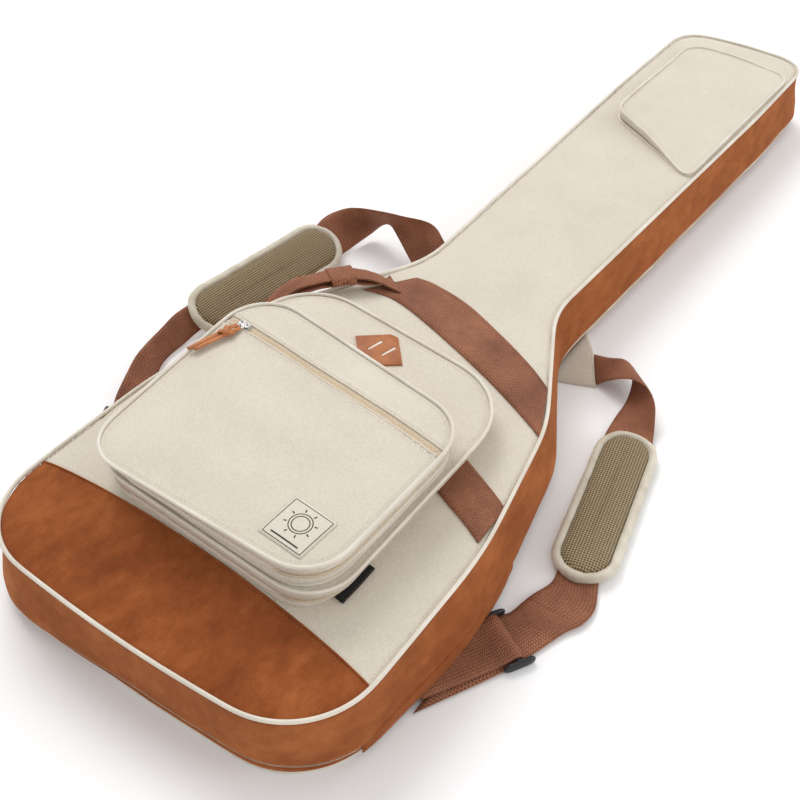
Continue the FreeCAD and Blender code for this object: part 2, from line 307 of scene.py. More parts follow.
def tube_parts(path, radius, closed=True, sides=8, squash=1.0):
    """Vertices and faces of a tube along space points."""
    count = len(path)
    rows = []
    for index, p in enumerate(path):
        after = path[(index + 1) % count] if closed or index < count - 1 else p
        before = path[index - 1] if closed or index > 0 else p
        along = (after - before).normalized()
        side = along.cross(UP)
        side = side.normalized() if side.length > 1e-4 else Vector((1, 0, 0))
        up = side.cross(along).normalized()
        row = []
        for k in range(sides):
            angle = math.tau * k / sides
            row.append(p + side * math.cos(angle) * radius + up * math.sin(angle) * radius * squash)
        rows.append(row)
    vertices, faces = loft(rows, closed_rows=closed)
    if not closed:
        for row_index in (0, count - 1):
            ids = [row_index * sides + k for k in range(sides)]
            faces.append(tuple(ids) if row_index == 0 else tuple(reversed(ids)))
    return vertices, faces


def joined(parts):
    """Join several (vertices, faces) lists."""
    vertices = []
    faces = []
    for part_vertices, part_faces in parts:
        start = len(vertices)
        vertices.extend(part_vertices)
        faces.extend(tuple(i + start for i in face) for face in part_faces)
    return vertices, faces


def rounded_box_parts(centre, half, along, up=UP, power=4.0):
    """A soft-edged block, from a squared-off sphere, turned to lie along a direction."""
    x_axis = Vector(along).normalized()
    y_axis = Vector(up).cross(x_axis).normalized()
    z_axis = x_axis.cross(y_axis)
    rings = 9
    sides = 16
    rows = []
    for r in range(rings):
        latitude = math.pi * (r / (rings - 1) - 0.5)
        row = []
        for s in range(sides):
            angle = math.tau * s / sides
            direction = (
                math.cos(latitude) * math.cos(angle),
                math.cos(latitude) * math.sin(angle),
                math.sin(latitude),
            )
            size = sum(abs(d) ** power for d in direction) ** (1 / power)
            local = [d / size * h for d, h in zip(direction, half)]
            row.append(Vector(centre) + x_axis * local[0] + y_axis * local[1] + z_axis * local[2])
        rows.append(row)
    return loft(rows)


def ribbon_parts(stations, thickness, steps=6, columns=8, edge=0.4):
    """Webbing through stations, each a pair of space points at the two edges. Gives vertices, faces, uvs."""
    left = spline([s[0] for s in stations], steps)
    right = spline([s[1] for s in stations], steps)
    rows = []
    uvs = []
    travelled = 0.0
    middle_before = None
    count = len(left)
    middles = [(a + b) / 2 for a, b in zip(left, right)]
    for index in range(count):
        a = left[index]
        b = right[index]
        middle = middles[index]
        if middle_before is not None:
            travelled += (middle - middle_before).length
        middle_before = middle
        along = (middles[min(index + 1, count - 1)] - middles[max(index - 1, 0)]).normalized()
        normal = (b - a).cross(along).normalized()
        row = []
        for side in (1, -1):
            for c in range(columns + 1):
                share = c / columns if side == 1 else 1 - c / columns
                thin = 1.0 if 0 < c < columns else edge
                row.append(a.lerp(b, share) + normal * side * thin * thickness / 2)
                uvs.append((share * (b - a).length, travelled))
        rows.append(row)
    vertices, faces = loft(rows, flip=True)
    width = len(rows[0])
    last = (count - 1) * width
    faces.append(tuple(range(width)))
    faces.append(tuple(reversed(range(last, last + width))))
    return vertices, faces, uvs


def marks(path, normals, pitch, first, closed):
    """Even marks along space points: each mark's place, the step it lies on and the normal there."""
    count = len(path)
    travelled = 0.0
    due = first
    for index in range(count if closed else count - 1):
        a = path[index]
        b = path[(index + 1) % count]
        step = b - a
        n = normals[index] if isinstance(normals, list) else normals
        while step.length > 1e-9 and due <= travelled + step.length:
            yield a.lerp(b, (due - travelled) / step.length), step, n
            due += pitch
        travelled += step.length


def stitch_parts(
    path, normals, pitch=STITCH_PITCH, length=2.9 * MM, width=0.75 * MM, lift=0.3 * MM, closed=True,
):
    """Small raised stitches along space points. normals point out of the cloth."""
    parts = []
    for p, step, n in marks(path, normals, pitch, pitch / 2, closed):
        along = step.normalized()
        side = n.cross(along).normalized()
        ends = [p - along * length / 2, p + along * length / 2]
        ring = [
            p + side * width / 2 + n * lift * 0.2,
            p + n * lift * 1.6,
            p - side * width / 2 + n * lift * 0.2,
            p - n * lift,
        ]
        parts.append((
            ends + ring,
            [(0, 2, 3), (0, 3, 4), (0, 4, 5), (0, 5, 2), (1, 3, 2), (1, 4, 3), (1, 5, 4), (1, 2, 5)],
        ))
    return joined(parts)


# ---------------------------------------------------------------- material nodes

class Nodes:
    """A short way to write a node material."""

    def __init__(self, name):
        self.material = bpy.data.materials.new(name)
        self.material.use_nodes = True
        self.tree = self.material.node_tree
        self.shader = self.tree.nodes["Principled BSDF"]
        self.place = self.tree.nodes.new("ShaderNodeTexCoord").outputs["Object"]

    def add(self, kind, inputs=None, **settings):
        node = self.tree.nodes.new(kind)
        for key, value in settings.items():
            setattr(node, key, value)
        for key, value in (inputs or {}).items():
            self.set(node.inputs[key], value)
        return node

    def set(self, socket, value):
        if isinstance(value, bpy.types.NodeSocket):
            self.tree.links.new(value, socket)
        else:
            socket.default_value = value

    def math(self, operation, a, b=0.0, c=0.0):
        node = self.add("ShaderNodeMath", operation=operation)
        for index, value in enumerate((a, b, c)):
            self.set(node.inputs[index], value)
        return node.outputs[0]

    def total(self, *terms):
        """A weighted sum of (socket, weight) terms."""
        total = None
        for socket, weight in terms:
            share = self.math("MULTIPLY", socket, weight)
            total = self.math("ADD", total, share) if total else share
        return total

    def uv(self):
        return self.add("ShaderNodeUVMap", uv_map="weave").outputs[0]

    def split(self, vector):
        node = self.add("ShaderNodeSeparateXYZ", {0: vector})
        return node.outputs[0], node.outputs[1], node.outputs[2]

    def noise(self, size, detail=3.0, rough=0.55, stretch=None):
        source = self.place
        if stretch:
            source = self.add("ShaderNodeMapping", {"Vector": source, "Scale": stretch}).outputs[0]
        node = self.add("ShaderNodeTexNoise", {
            "Vector": source, "Scale": 1.0 / size, "Detail": detail, "Roughness": rough,
        })
        return node.outputs["Fac"]

    def cells(self, size):
        node = self.add("ShaderNodeTexVoronoi", {"Vector": self.place, "Scale": 1.0 / size}, feature="F1")
        return node.outputs["Distance"]

    def ramp(self, value, stops):
        node = self.add("ShaderNodeValToRGB", {"Fac": value})
        elements = node.color_ramp.elements
        while len(elements) < len(stops):
            elements.new(0.5)
        for element, (position, colour) in zip(elements, stops):
            element.position = position
            element.color = (*colour, 1.0)
        return node.outputs[0]

    def mix(self, share, a, b, blend="MIX"):
        node = self.add("ShaderNodeMix", data_type="RGBA", blend_type=blend)
        for index, value in ((0, share), (6, a), (7, b)):
            if isinstance(value, tuple) and len(value) == 3:
                value = (*value, 1.0)
            self.set(node.inputs[index], value)
        return node.outputs[2]

    def remap(self, value, low, high, to_low=0.0, to_high=1.0):
        node = self.add("ShaderNodeMapRange", {0: value, 1: low, 2: high, 3: to_low, 4: to_high})
        return node.outputs[0]

    def bump(self, height, distance, strength):
        inputs = {"Height": height, "Distance": distance, "Strength": strength}
        return self.add("ShaderNodeBump", inputs).outputs[0]

    def finish(self, colour, roughness, normal=None, sheen=0.0, sheen_tint=(1.0, 1.0, 1.0), sheen_rough=0.5,
               metallic=0.0, specular=0.5):
        values = {
            "Base Color": colour, "Roughness": roughness, "Metallic": metallic,
            "Specular IOR Level": specular, "Sheen Weight": sheen, "Sheen Tint": (*sheen_tint, 1.0),
            "Sheen Roughness": sheen_rough,
        }
        if normal is not None:
            values["Normal"] = normal
        for key, value in values.items():
            self.set(self.shader.inputs[key], value)
        return self.material


def srgb(red, green, blue):
    """A linear colour from 0 to 255 display values."""
    def linear(value):
        share = value / 255
        return share / 12.92 if share <= 0.04045 else ((share + 0.055) / 1.055) ** 2.4
    return (linear(red), linear(green), linear(blue))


def woven(n, pitch):
    """A plain weave height, from sines along all three axes, so it shows on every side of a piece."""
    x, y, z = n.split(n.place)
    turns = math.tau / pitch
    warp = n.math("SINE", n.math("MULTIPLY", n.math("ADD", x, n.math("MULTIPLY", z, 0.5)), turns))
    weft = n.math("SINE", n.math("MULTIPLY", n.math("ADD", y, n.math("MULTIPLY", z, 0.87)), turns))
    return n.math("MULTIPLY", warp, weft)


def canvas_material(name, light, dark, pitch=1.5 * MM):
    n = Nodes(name)
    weave = woven(n, pitch)
    yarn = n.noise(2.4 * MM, 3.0, 0.7)
    cloud = n.noise(0.07, 3.0)
    grain = n.noise(0.8 * MM, 2.0, 0.8)
    tone = n.total((yarn, 0.36), (cloud, 0.2), (grain, 0.36), (weave, 0.07))
    colour = n.ramp(tone, [(0.3, dark), (0.56, light)])
    height = n.total((weave, 0.5), (yarn, 0.6))
    normal = n.bump(height, 0.28 * MM, 0.65)
    return n.finish(colour, n.remap(yarn, 0.3, 0.7, 0.78, 0.92), normal, sheen=0.12, sheen_rough=0.45,
                    specular=0.25)


def suede_material():
    n = Nodes("suede")
    broad = n.noise(0.075, 4.0, 0.62)
    nap = n.noise(0.016, 5.0, 0.7, stretch=(1.0, 0.5, 1.0))
    fibre = n.noise(1.6 * MM, 3.0, 0.8)
    tone = n.total((broad, 0.5), (nap, 0.36), (fibre, 0.16))
    colour = n.ramp(tone, [
        (0.35, srgb(106, 50, 22)), (0.5, srgb(134, 70, 34)), (0.66, srgb(162, 94, 51)),
    ])
    height = n.total((fibre, 0.5), (nap, 0.8))
    normal = n.bump(height, 0.5 * MM, 0.7)
    return n.finish(colour, 0.94, normal, sheen=0.35, sheen_tint=srgb(225, 160, 110), sheen_rough=0.6,
                    specular=0.12)


def piping_material():
    n = Nodes("piping")
    weave = woven(n, 1.1 * MM)
    cloud = n.noise(0.05, 3.0)
    colour = n.ramp(cloud, [(0.3, srgb(208, 199, 184)), (0.7, srgb(228, 221, 208))])
    return n.finish(colour, 0.7, n.bump(weave, 0.12 * MM, 0.5), sheen=0.1, specular=0.3)


def webbing_material(name, light, dark, rib=2.1 * MM):
    """Ribbed webbing: slanted yarn floats in narrow columns along the strap."""
    n = Nodes(name)
    across, along, _ = n.split(n.uv())
    column = n.math("MULTIPLY", across, math.tau / (3.1 * MM))
    lean = n.math("MULTIPLY", n.math("SINE", column), 1.3)
    rows = n.math("SINE", n.math("ADD", n.math("MULTIPLY", along, math.tau / rib), lean))
    grooves = n.math("ABSOLUTE", n.math("COSINE", n.math("MULTIPLY", column, 0.5)))
    height = n.total((rows, 0.5), (grooves, 0.45))
    fuzz = n.noise(1.3 * MM, 3.0, 0.75)
    cloud = n.noise(0.035, 3.0)
    # The rib height goes into the colour, so the grooves between the ribs are painted darker: painted shade
    # in the grooves. The fuzz and cloud are the webbing's own uneven colour.
    tone = n.total((height, 0.22), (fuzz, 0.4), (cloud, 0.3))
    colour = n.ramp(tone, [(0.24, dark), (0.6, light)])
    normal = n.bump(height, 0.42 * MM, 0.85)
    return n.finish(colour, 0.72, normal, sheen=0.15, sheen_tint=light, specular=0.3)


def mesh_material():
    """Spacer mesh: staggered round holes in a knitted face."""
    n = Nodes("spacer_mesh")
    x, y, _ = n.split(n.uv())
    pitch = 5.4 * MM
    a = n.math("SINE", n.math("MULTIPLY", n.math("ADD", x, y), math.tau / pitch))
    b = n.math("SINE", n.math("MULTIPLY", n.math("SUBTRACT", x, y), math.tau / pitch))
    holes = n.math("MULTIPLY", a, b)
    grain = n.noise(0.9 * MM, 2.0)
    tone = n.total((holes, 0.3), (grain, 0.5))
    # The holes are painted dark: painted shade inside the holes. The grain is the knit's own uneven colour.
    colour = n.ramp(tone, [(0.06, srgb(84, 68, 44)), (0.3, srgb(158, 138, 104)), (0.6, srgb(190, 172, 138))])
    return n.finish(colour, 0.8, n.bump(holes, 0.9 * MM, 0.9), sheen=0.1, specular=0.25)


def leather_material(name, light, dark):
    n = Nodes(name)
    pores = n.cells(1.5 * MM)
    crease = n.noise(4 * MM, 4.0, 0.65)
    cloud = n.noise(0.018, 3.0)
    tone = n.total((cloud, 0.6), (crease, 0.4))
    colour = n.ramp(tone, [(0.34, dark), (0.62, light)])
    height = n.math("ADD", n.math("MULTIPLY", pores, 0.6), crease)
    return n.finish(colour, n.remap(crease, 0.3, 0.7, 0.42, 0.6), n.bump(height, 0.22 * MM, 0.6),
                    specular=0.4)


def metal_material(name, colour, rough):
    n = Nodes(name)
    wear = n.noise(3 * MM, 4.0, 0.7)
    return n.finish((*colour, 1.0), n.remap(wear, 0.3, 0.7, rough - 0.07, rough + 0.1),
                    n.bump(wear, 0.05 * MM, 0.3), metallic=1.0)


def plastic_material(name, colour, rough, grain=0.6 * MM):
    n = Nodes(name)
    speck = n.noise(grain, 2.0)
    tone = n.mix(n.remap(speck, 0.3, 0.7), colour, tuple(c * 1.35 + 0.004 for c in colour))
    return n.finish(tone, rough, n.bump(speck, 0.06 * MM, 0.4), specular=0.4)


def lining_material():
    """Short brushed pile."""
    n = Nodes("lining")
    pile = n.noise(1.8 * MM, 4.0, 0.8)
    cloud = n.noise(0.06, 4.0)
    tone = n.total((pile, 0.5), (cloud, 0.5))
    colour = n.ramp(tone, [(0.35, srgb(58, 42, 34)), (0.65, srgb(98, 76, 62))])
    return n.finish(colour, 0.95, n.bump(pile, 0.6 * MM, 0.8), sheen=0.4, sheen_tint=srgb(170, 140, 120),
                    specular=0.1)


def binding_material():
    """Grosgrain: fine cross ribs."""
    n = Nodes("pad_binding")
    x, y, z = n.split(n.place)
    ribs = n.math("SINE", n.math("MULTIPLY", n.math("ADD", x, n.math("ADD", y, z)), math.tau / (1.4 * MM)))
    cloud = n.noise(0.02, 3.0)
    colour = n.ramp(cloud, [(0.3, srgb(196, 186, 166)), (0.7, srgb(220, 212, 196))])
    return n.finish(colour, 0.8, n.bump(ribs, 0.2 * MM, 0.6), sheen=0.15, specular=0.25)


def thread_material(name, colour):
    n = Nodes(name)
    twist = n.noise(0.7 * MM, 2.0)
    tone = n.mix(twist, tuple(c * 0.82 for c in colour), colour)
    return n.finish(tone, 0.6, n.bump(twist, 0.1 * MM, 0.5), specular=0.3)


CANVAS = canvas_material("canvas", srgb(219, 210, 195), srgb(195, 185, 168))
SUEDE = suede_material()
PIPING = piping_material()
# The webbing's dark colour stop is partly painted shade: it follows the tone of a band lying in shade.
WEBBING = webbing_material("webbing", srgb(178, 118, 86), srgb(82, 44, 30))
BLACK_WEB = webbing_material("black_web", srgb(38, 37, 38), srgb(14, 14, 15), 1.2 * MM)
ZIP_TAPE = canvas_material("zip_tape", srgb(220, 205, 182), srgb(198, 180, 154), 0.9 * MM)
ZIP_COIL = plastic_material("zip_coil", srgb(204, 184, 154), 0.45)
MESH = mesh_material()
BINDING = binding_material()
LINING = lining_material()
PATCH_LEATHER = leather_material("patch_leather", srgb(176, 106, 54), srgb(142, 78, 38))
PULL_LEATHER = leather_material("pull_leather", srgb(190, 116, 60), srgb(148, 84, 42))
ZIP_METAL = metal_material("zip_metal", srgb(206, 204, 200), 0.3)
GLIDE = plastic_material("glide_plastic", srgb(26, 26, 28), 0.42)
LABEL = canvas_material("label", srgb(226, 219, 204), srgb(206, 198, 182), 0.8 * MM)
LABEL_INK = plastic_material("label_ink", srgb(46, 40, 34), 0.8)
THREAD = thread_material("thread", srgb(232, 225, 210))
SUEDE_THREAD = thread_material("suede_thread", srgb(176, 104, 60))
WEB_THREAD = thread_material("web_thread", srgb(120, 74, 56))


# ---------------------------------------------------------------- main panels

OUTLINE = plan_curve("back_foam")
OUTLINE_TREE = kdtree.KDTree(len(OUTLINE))
for outline_index, outline_point in enumerate(OUTLINE):
    OUTLINE_TREE.insert((outline_point.x, outline_point.y, 0.0), outline_index)
OUTLINE_TREE.balance()


def bounding_span(y):
    """Lowest and highest x of the body plan at a height y."""
    crossings = []
    for a, b in zip(OUTLINE, OUTLINE[1:] + OUTLINE[:1]):
        if (a.y - y) * (b.y - y) <= 0 and abs(a.y - b.y) > 1e-9:
            crossings.append(a.x + (b.x - a.x) * (y - a.y) / (b.y - a.y))
    return min(crossings), max(crossings)


def front_height(x, y):
    """The padded front, which rises from its piping to a low crown."""
    _, _, distance = OUTLINE_TREE.find((x, y, 0.0))
    crown = 4.6 * MM * (1 - math.exp(-distance / (24 * MM)))
    crown -= 1.3 * MM * math.exp(-distance / (2.4 * MM))
    crown += 0.9 * MM * ripple(x, y, 0, 0.11, 3) * smoothstep(0.004, 0.03, distance)
    crown += 0.35 * MM * ripple(x, y, 0, 0.03, 9) * smoothstep(0.004, 0.02, distance)
    return FRONT + 0.2 * MM + crown


def on_front(x, y, lift=0.0):
    return Vector((x, y, front_height(x, y) + lift))


SEAM_REACH = 230 * MM
SEAM_LEFT = 93 * MM
SEAM_MIDDLE = 100.5 * MM
SEAM_RIGHT = 70 * MM
SEAM_ROW = 92 * MM


def seam_height(x):
    """The suede strip's top seam, an arch that drops to the right."""
    share = x / SEAM_REACH
    rise = (SEAM_LEFT + SEAM_RIGHT) / 2 - SEAM_MIDDLE
    return SEAM_MIDDLE + share * (SEAM_RIGHT - SEAM_LEFT) / 2 + share ** 2 * rise


OUTLINE_LOW = min(p.y for p in OUTLINE) + 0.0003
OUTLINE_HIGH = max(p.y for p in OUTLINE) - 0.0003


def front_surface(name, low, high, count, seam_low, seam_high, material):
    """Rows across the front, closer together near its edges. The seam shares bend the rows at the seam."""
    columns = 56
    rows = []
    for r in range(count + 1):
        y_row = low + (high - low) * (0.5 - 0.5 * math.cos(math.pi * r / count))
        share = (y_row - low) / (high - low)
        bend = seam_low * (1 - share) ** 4 + seam_high * share ** 2
        left, right = bounding_span(min(max(y_row, OUTLINE_LOW), OUTLINE_HIGH))
        row = []
        for c in range(columns + 1):
            u = -0.55 * math.cos(math.pi * c / columns) + 0.45 * (2 * c / columns - 1)
            x = (left + right) / 2 + u * (right - left) / 2
            row.append(on_front(x, y_row + (seam_height(x) - SEAM_ROW) * bend))
        rows.append(row)
    vertices, faces = loft(rows, closed_columns=False)
    return new_object(name, vertices, faces, material)


def make_front():
    canvas = front_surface("front_canvas", SEAM_ROW, OUTLINE_HIGH, 210, 1.0, 0.0, CANVAS)
    finish_piece(canvas, "cover", "canvas", "front_panel", "front_foam")
    base = front_surface("front_suede", OUTLINE_LOW, SEAM_ROW, 40, 0.0, 1.0, SUEDE)
    finish_piece(base, "cover", "suede", "front_base_panel")
    seam = []
    left, right = bounding_span(SEAM_ROW)
    for i in range(121):
        x = left + (right - left) * i / 120
        seam.append(on_front(x, seam_height(x), 0.5 * MM))
    tube = tube_parts(seam, 1.0 * MM, closed=False, sides=6, squash=0.8)
    sew("front_seam", tube, SUEDE, "cover", "suede")
    for name, shift, material, slot in (
        ("front_seam_stitches", 3.0 * MM, THREAD, "piping"),
        ("suede_seam_stitches", -3.5 * MM, SUEDE_THREAD, "suede"),
    ):
        path = on_surface([p + Vector((0, shift, 0)) for p in seam[2:-2]], front_height)
        sew(name, stitch_parts(path, UP, closed=False), material, "cover", slot)
    edge = offset_loop(OUTLINE, -3.4 * MM)
    path = on_surface([p for p in edge if p.y > seam_height(p.x)], front_height)
    start = longest_step(path)
    stitches = stitch_parts(path[start:] + path[:start], UP, width=FINE_STITCH, closed=False)
    sew("front_edge_stitches", stitches, THREAD, "cover", "piping")


def piping_tube(name, loop, z, radius, body, *nodes, wave=0.35 * MM):
    path = [Vector((p.x, p.y, z + wave * ripple(p.x, p.y, z, 0.09, 21))) for p in loop]
    return sew(name, tube_parts(path, radius, sides=10), PIPING, body, "piping", *nodes)


def wall_offset(p, n, z):
    """How far the suede wall stands out of the panel's edge. It bellies low down, except where the zip
    runs along the left side and the head, and less along the neck than round the body."""
    left_corner = smoothstep(0.04, -0.13, p.x)
    low_belly = 3.0 + 8.0 * left_corner
    belly = (low_belly + (13.0 - low_belly) * smoothstep(0.06, 0.2, p.y)
             - 4.5 * smoothstep(0.42, 0.62, p.y)) * MM
    belly *= 1 - smoothstep(0.25, 0.9, -n.y) * (1 - 0.8 * left_corner)
    zip_side = smoothstep(0.2, 0.7, -n.x) * smoothstep(0.1, 0.3, p.y)
    zip_side = max(zip_side, smoothstep(1.16, 1.21, p.y) * smoothstep(0.5, -0.5, n.x))
    share = z / FRONT
    rise = smoothstep(0.02, 0.2, share) * (1 - smoothstep(0.2, 1.02, share) ** 0.9)
    flat = rise * (1 - zip_side * (1 - smoothstep(0.26, 0.42, share)) * 0.85)
    push = 1.4 * MM + belly * flat - 3.2 * MM * (1 - smoothstep(0.0, 0.2, share))
    swell = math.sin(math.pi * min(1.0, share)) ** 0.7
    push += 1.6 * MM * swell * (1 - zip_side) * ripple(p.x, p.y, z * 1.5, 0.06, 2)
    push += 0.6 * MM * swell * ripple(p.x, p.y, z * 2.0, 0.022, 8)
    return push


def suede_wall(name, low, high, count, body, *nodes):
    loop = plan_curve("back_foam", 0.0, WALL_STEP)
    rows = []
    for r in range(count + 1):
        z = low + (high - low) * (r / count)
        tuck = 2.2 * MM if r in (0, count) else 0.0
        rows.append([beside(p, n, wall_offset(p, n, z) - tuck, z) for p, n in zip(loop, outward(loop))])
    return sew(name, loft(rows), SUEDE, body, "suede", *nodes)


def make_gusset():
    suede_wall("suede_gusset", UPPER_TAPE_BASE, FRONT - 0.4 * MM, 20, "cover", "side_gusset", "gusset_foam")
    suede_wall("suede_back_strip", 3.2 * MM, LOWER_TAPE_TOP, 5, "shell", "hinge_tape")
    loop = plan_curve("back_foam", 0.0, WALL_STEP)
    normals = outward(loop)
    seam_z = FRONT - 5.2 * MM
    seam = [p + n * (wall_offset(p, n, seam_z) + 0.1 * MM) for p, n in zip(loop, normals)]
    outs = [Vector((n.x, n.y, 0.3)).normalized() for n in normals]
    stitches = stitch_parts([Vector((p.x, p.y, seam_z)) for p in seam], outs)
    sew("gusset_stitches", stitches, SUEDE_THREAD, "cover", "suede")


def coil_parts(path, normals, pitch=1.7 * MM, reach=1.9 * MM, thick=0.55 * MM, closed=True):
    """Interlocked zip teeth along space points. normals point out of the tape."""
    parts = []
    faces = [(3, 2, 1, 0), (4, 5, 6, 7), (1, 5, 4, 0), (2, 6, 5, 1), (3, 7, 6, 2), (0, 4, 7, 3)]
    for tooth, (centre, step, n) in enumerate(marks(path, normals, pitch, 0.0, closed)):
        along = step / step.length
        side = n.cross(along).normalized()
        centre += side * (0.45 * reach if tooth % 2 else -0.45 * reach)
        corners = []
        for up, shrink in ((-thick, 1.0), (thick, 0.62)):
            for u, v in ((-1, -1), (1, -1), (1, 1), (-1, 1)):
                flat = along * u * pitch * 0.36 * shrink
                corners.append(centre + flat + side * v * reach * 0.62 * shrink + n * up)
        parts.append((corners, faces))
    return joined(parts)


def make_main_zip():
    """The main zip runs low round the left side and the head. Its cloth tapes line the split all round."""
    loop = plan_curve("back_foam", 0.0, 5 * MM)
    normals = outward(loop)
    middle = (LOWER_TAPE_TOP + UPPER_TAPE_BASE) / 2
    for name, body, node, low, high in (
        ("zip_tape_low", "shell", "main_zip_tape_lower", middle - 5 * MM, middle - 0.35 * MM),
        ("zip_tape_high", "cover", "main_zip_tape_upper", middle + 0.35 * MM, middle + 5 * MM),
    ):
        pushes = [wall_offset(p, n, middle) - 2.0 * MM for p, n in zip(loop, normals)]
        rows = []
        for z in (low, (low + high) / 2, high):
            rows.append([beside(p, n, push, z) for p, n, push in zip(loop, normals, pushes)])
        sew(name, loft(rows), ZIP_TAPE, body, "zip_tape", node)
    for name, body, shift in (("zip_teeth_low", "shell", -0.55 * MM), ("zip_teeth_high", "cover", 0.55 * MM)):
        path = []
        outs = []
        for p, n in zip(loop, normals):
            if (n.x < -0.15 and p.y > 0.12) or (p.y > 1.19 and n.x < 0.6):
                push = wall_offset(p, n, middle) - 1.1 * MM
                path.append(beside(p, n, push, middle + shift))
                outs.append(Vector((n.x, n.y, 0)))
        start = longest_step(path)
        path = path[start:] + path[:start]
        outs = outs[start:] + outs[:start]
        sew(name, coil_parts(path, outs, reach=SMALL_TEETH, closed=False), ZIP_COIL, body, "zip_tape")


def make_piping():
    piping_tube("front_piping_cord", offset_loop(OUTLINE, 1.6 * MM), FRONT + 0.9 * MM, PIPING_RADIUS,
                "cover", "front_piping")
    back = plan_curve("back_panel", -6.6 * MM)
    piping_tube("back_piping_cord", back, 2.4 * MM, 1.9 * MM, "shell", "back_piping", wave=0.0)


# ---------------------------------------------------------------- pockets

class Plan:
    """A rounded plan shape seen from its middle, for surfaces made of rings."""

    def __init__(self, node, step=4.5 * MM, offset=0.0):
        self.loop = plan_curve(node, offset, step)
        count = len(self.loop)
        self.centre = sum((p for p in self.loop), Vector((0.0, 0.0))) / count
        self.normals = outward(self.loop)
        polar = []
        for p in self.loop:
            polar.append((math.atan2(p.y - self.centre.y, p.x - self.centre.x), (p - self.centre).length))
        self.polar = sorted(polar)

    def share(self, x, y):
        """0 at the middle and 1 at the edge."""
        angle = math.atan2(y - self.centre.y, x - self.centre.x)
        reach = math.hypot(x - self.centre.x, y - self.centre.y)
        low = 0
        high = len(self.polar)
        while low < high:
            middle = (low + high) // 2
            if self.polar[middle][0] < angle:
                low = middle + 1
            else:
                high = middle
        after = self.polar[low % len(self.polar)]
        before = self.polar[low - 1]
        gap = (after[0] - before[0]) % (math.tau)
        part = ((angle - before[0]) % (math.tau)) / gap if gap > 1e-9 else 0.0
        radius = before[1] + (after[1] - before[1]) * part
        return reach / radius


def ring_surface(name, plan, height, material, rings):
    """A surface over a plan shape, made of rings that shrink to its middle."""
    rows = []
    for r in range(rings + 1):
        share = (1 - r / rings) ** 0.85
        rows.append(on_surface([plan.centre + (p - plan.centre) * share for p in plan.loop], height))
    vertices, faces = loft(rows)
    width = len(plan.loop)
    vertices = vertices[:-width] + on_surface([plan.centre], height)
    tip = len(vertices) - 1
    faces = [f for f in faces if max(f) < tip]
    faces += [(tip - width + c, tip - width + (c + 1) % width, tip) for c in range(width)]
    return new_object(name, vertices, faces, material)


ORGANIZER_PLAN = Plan("organizer_face")
POCKET_PLAN = Plan("pocket_wall")
HEAD_PLAN = Plan("head_pocket_face", 3.5 * MM)
ZIP_WAY = Vector(joint_of("face_zip_slide")["axis"][:2]).normalized()
SLIDER_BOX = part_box("face_zip_slider")
SLIDER_PLACE = Vector(((SLIDER_BOX[0].x + SLIDER_BOX[1].x) / 2, (SLIDER_BOX[0].y + SLIDER_BOX[1].y) / 2))


def soft_crown(plan, top, crown, seed):
    def height(x, y):
        share = min(1.0, plan.share(x, y))
        rise = crown * (1 - share ** 3.2)
        fold = 1.3 * MM * ripple(x, y, 0, 0.075, seed) * (1 - share ** 4)
        crease = 0.55 * MM * ripple(x, y * 0.6, 0, 0.026, seed + 4) * (0.35 + 0.65 * share)
        crease *= 1 - share ** 12
        return top + rise + fold + crease
    return height


organizer_height = soft_crown(ORGANIZER_PLAN, ORGANIZER_TOP - 1.2 * MM, 3.0 * MM, 31)
pocket_crown = soft_crown(POCKET_PLAN, POCKET_TOP - 1.2 * MM, 4.4 * MM, 47)
head_height = soft_crown(HEAD_PLAN, HEAD_TOP - 1.0 * MM, 2.0 * MM, 63)


def zip_distance(x, y):
    """Signed distance across the face zip."""
    return (Vector((x, y)) - SLIDER_PLACE).cross(ZIP_WAY) * -1


def pocket_height(x, y):
    """The front pocket's face, with the groove that the zip lies in."""
    gap = abs(zip_distance(x, y))
    groove = 1.7 * MM * (1 - smoothstep(3.4 * MM, 5.6 * MM, gap))
    lip = 0.7 * MM * math.exp(-((gap - 7.2 * MM) / (2.6 * MM)) ** 2)
    return pocket_crown(x, y) - groove + lip


WAIST = 0.42
ZIP_GAP = 0.5 * MM


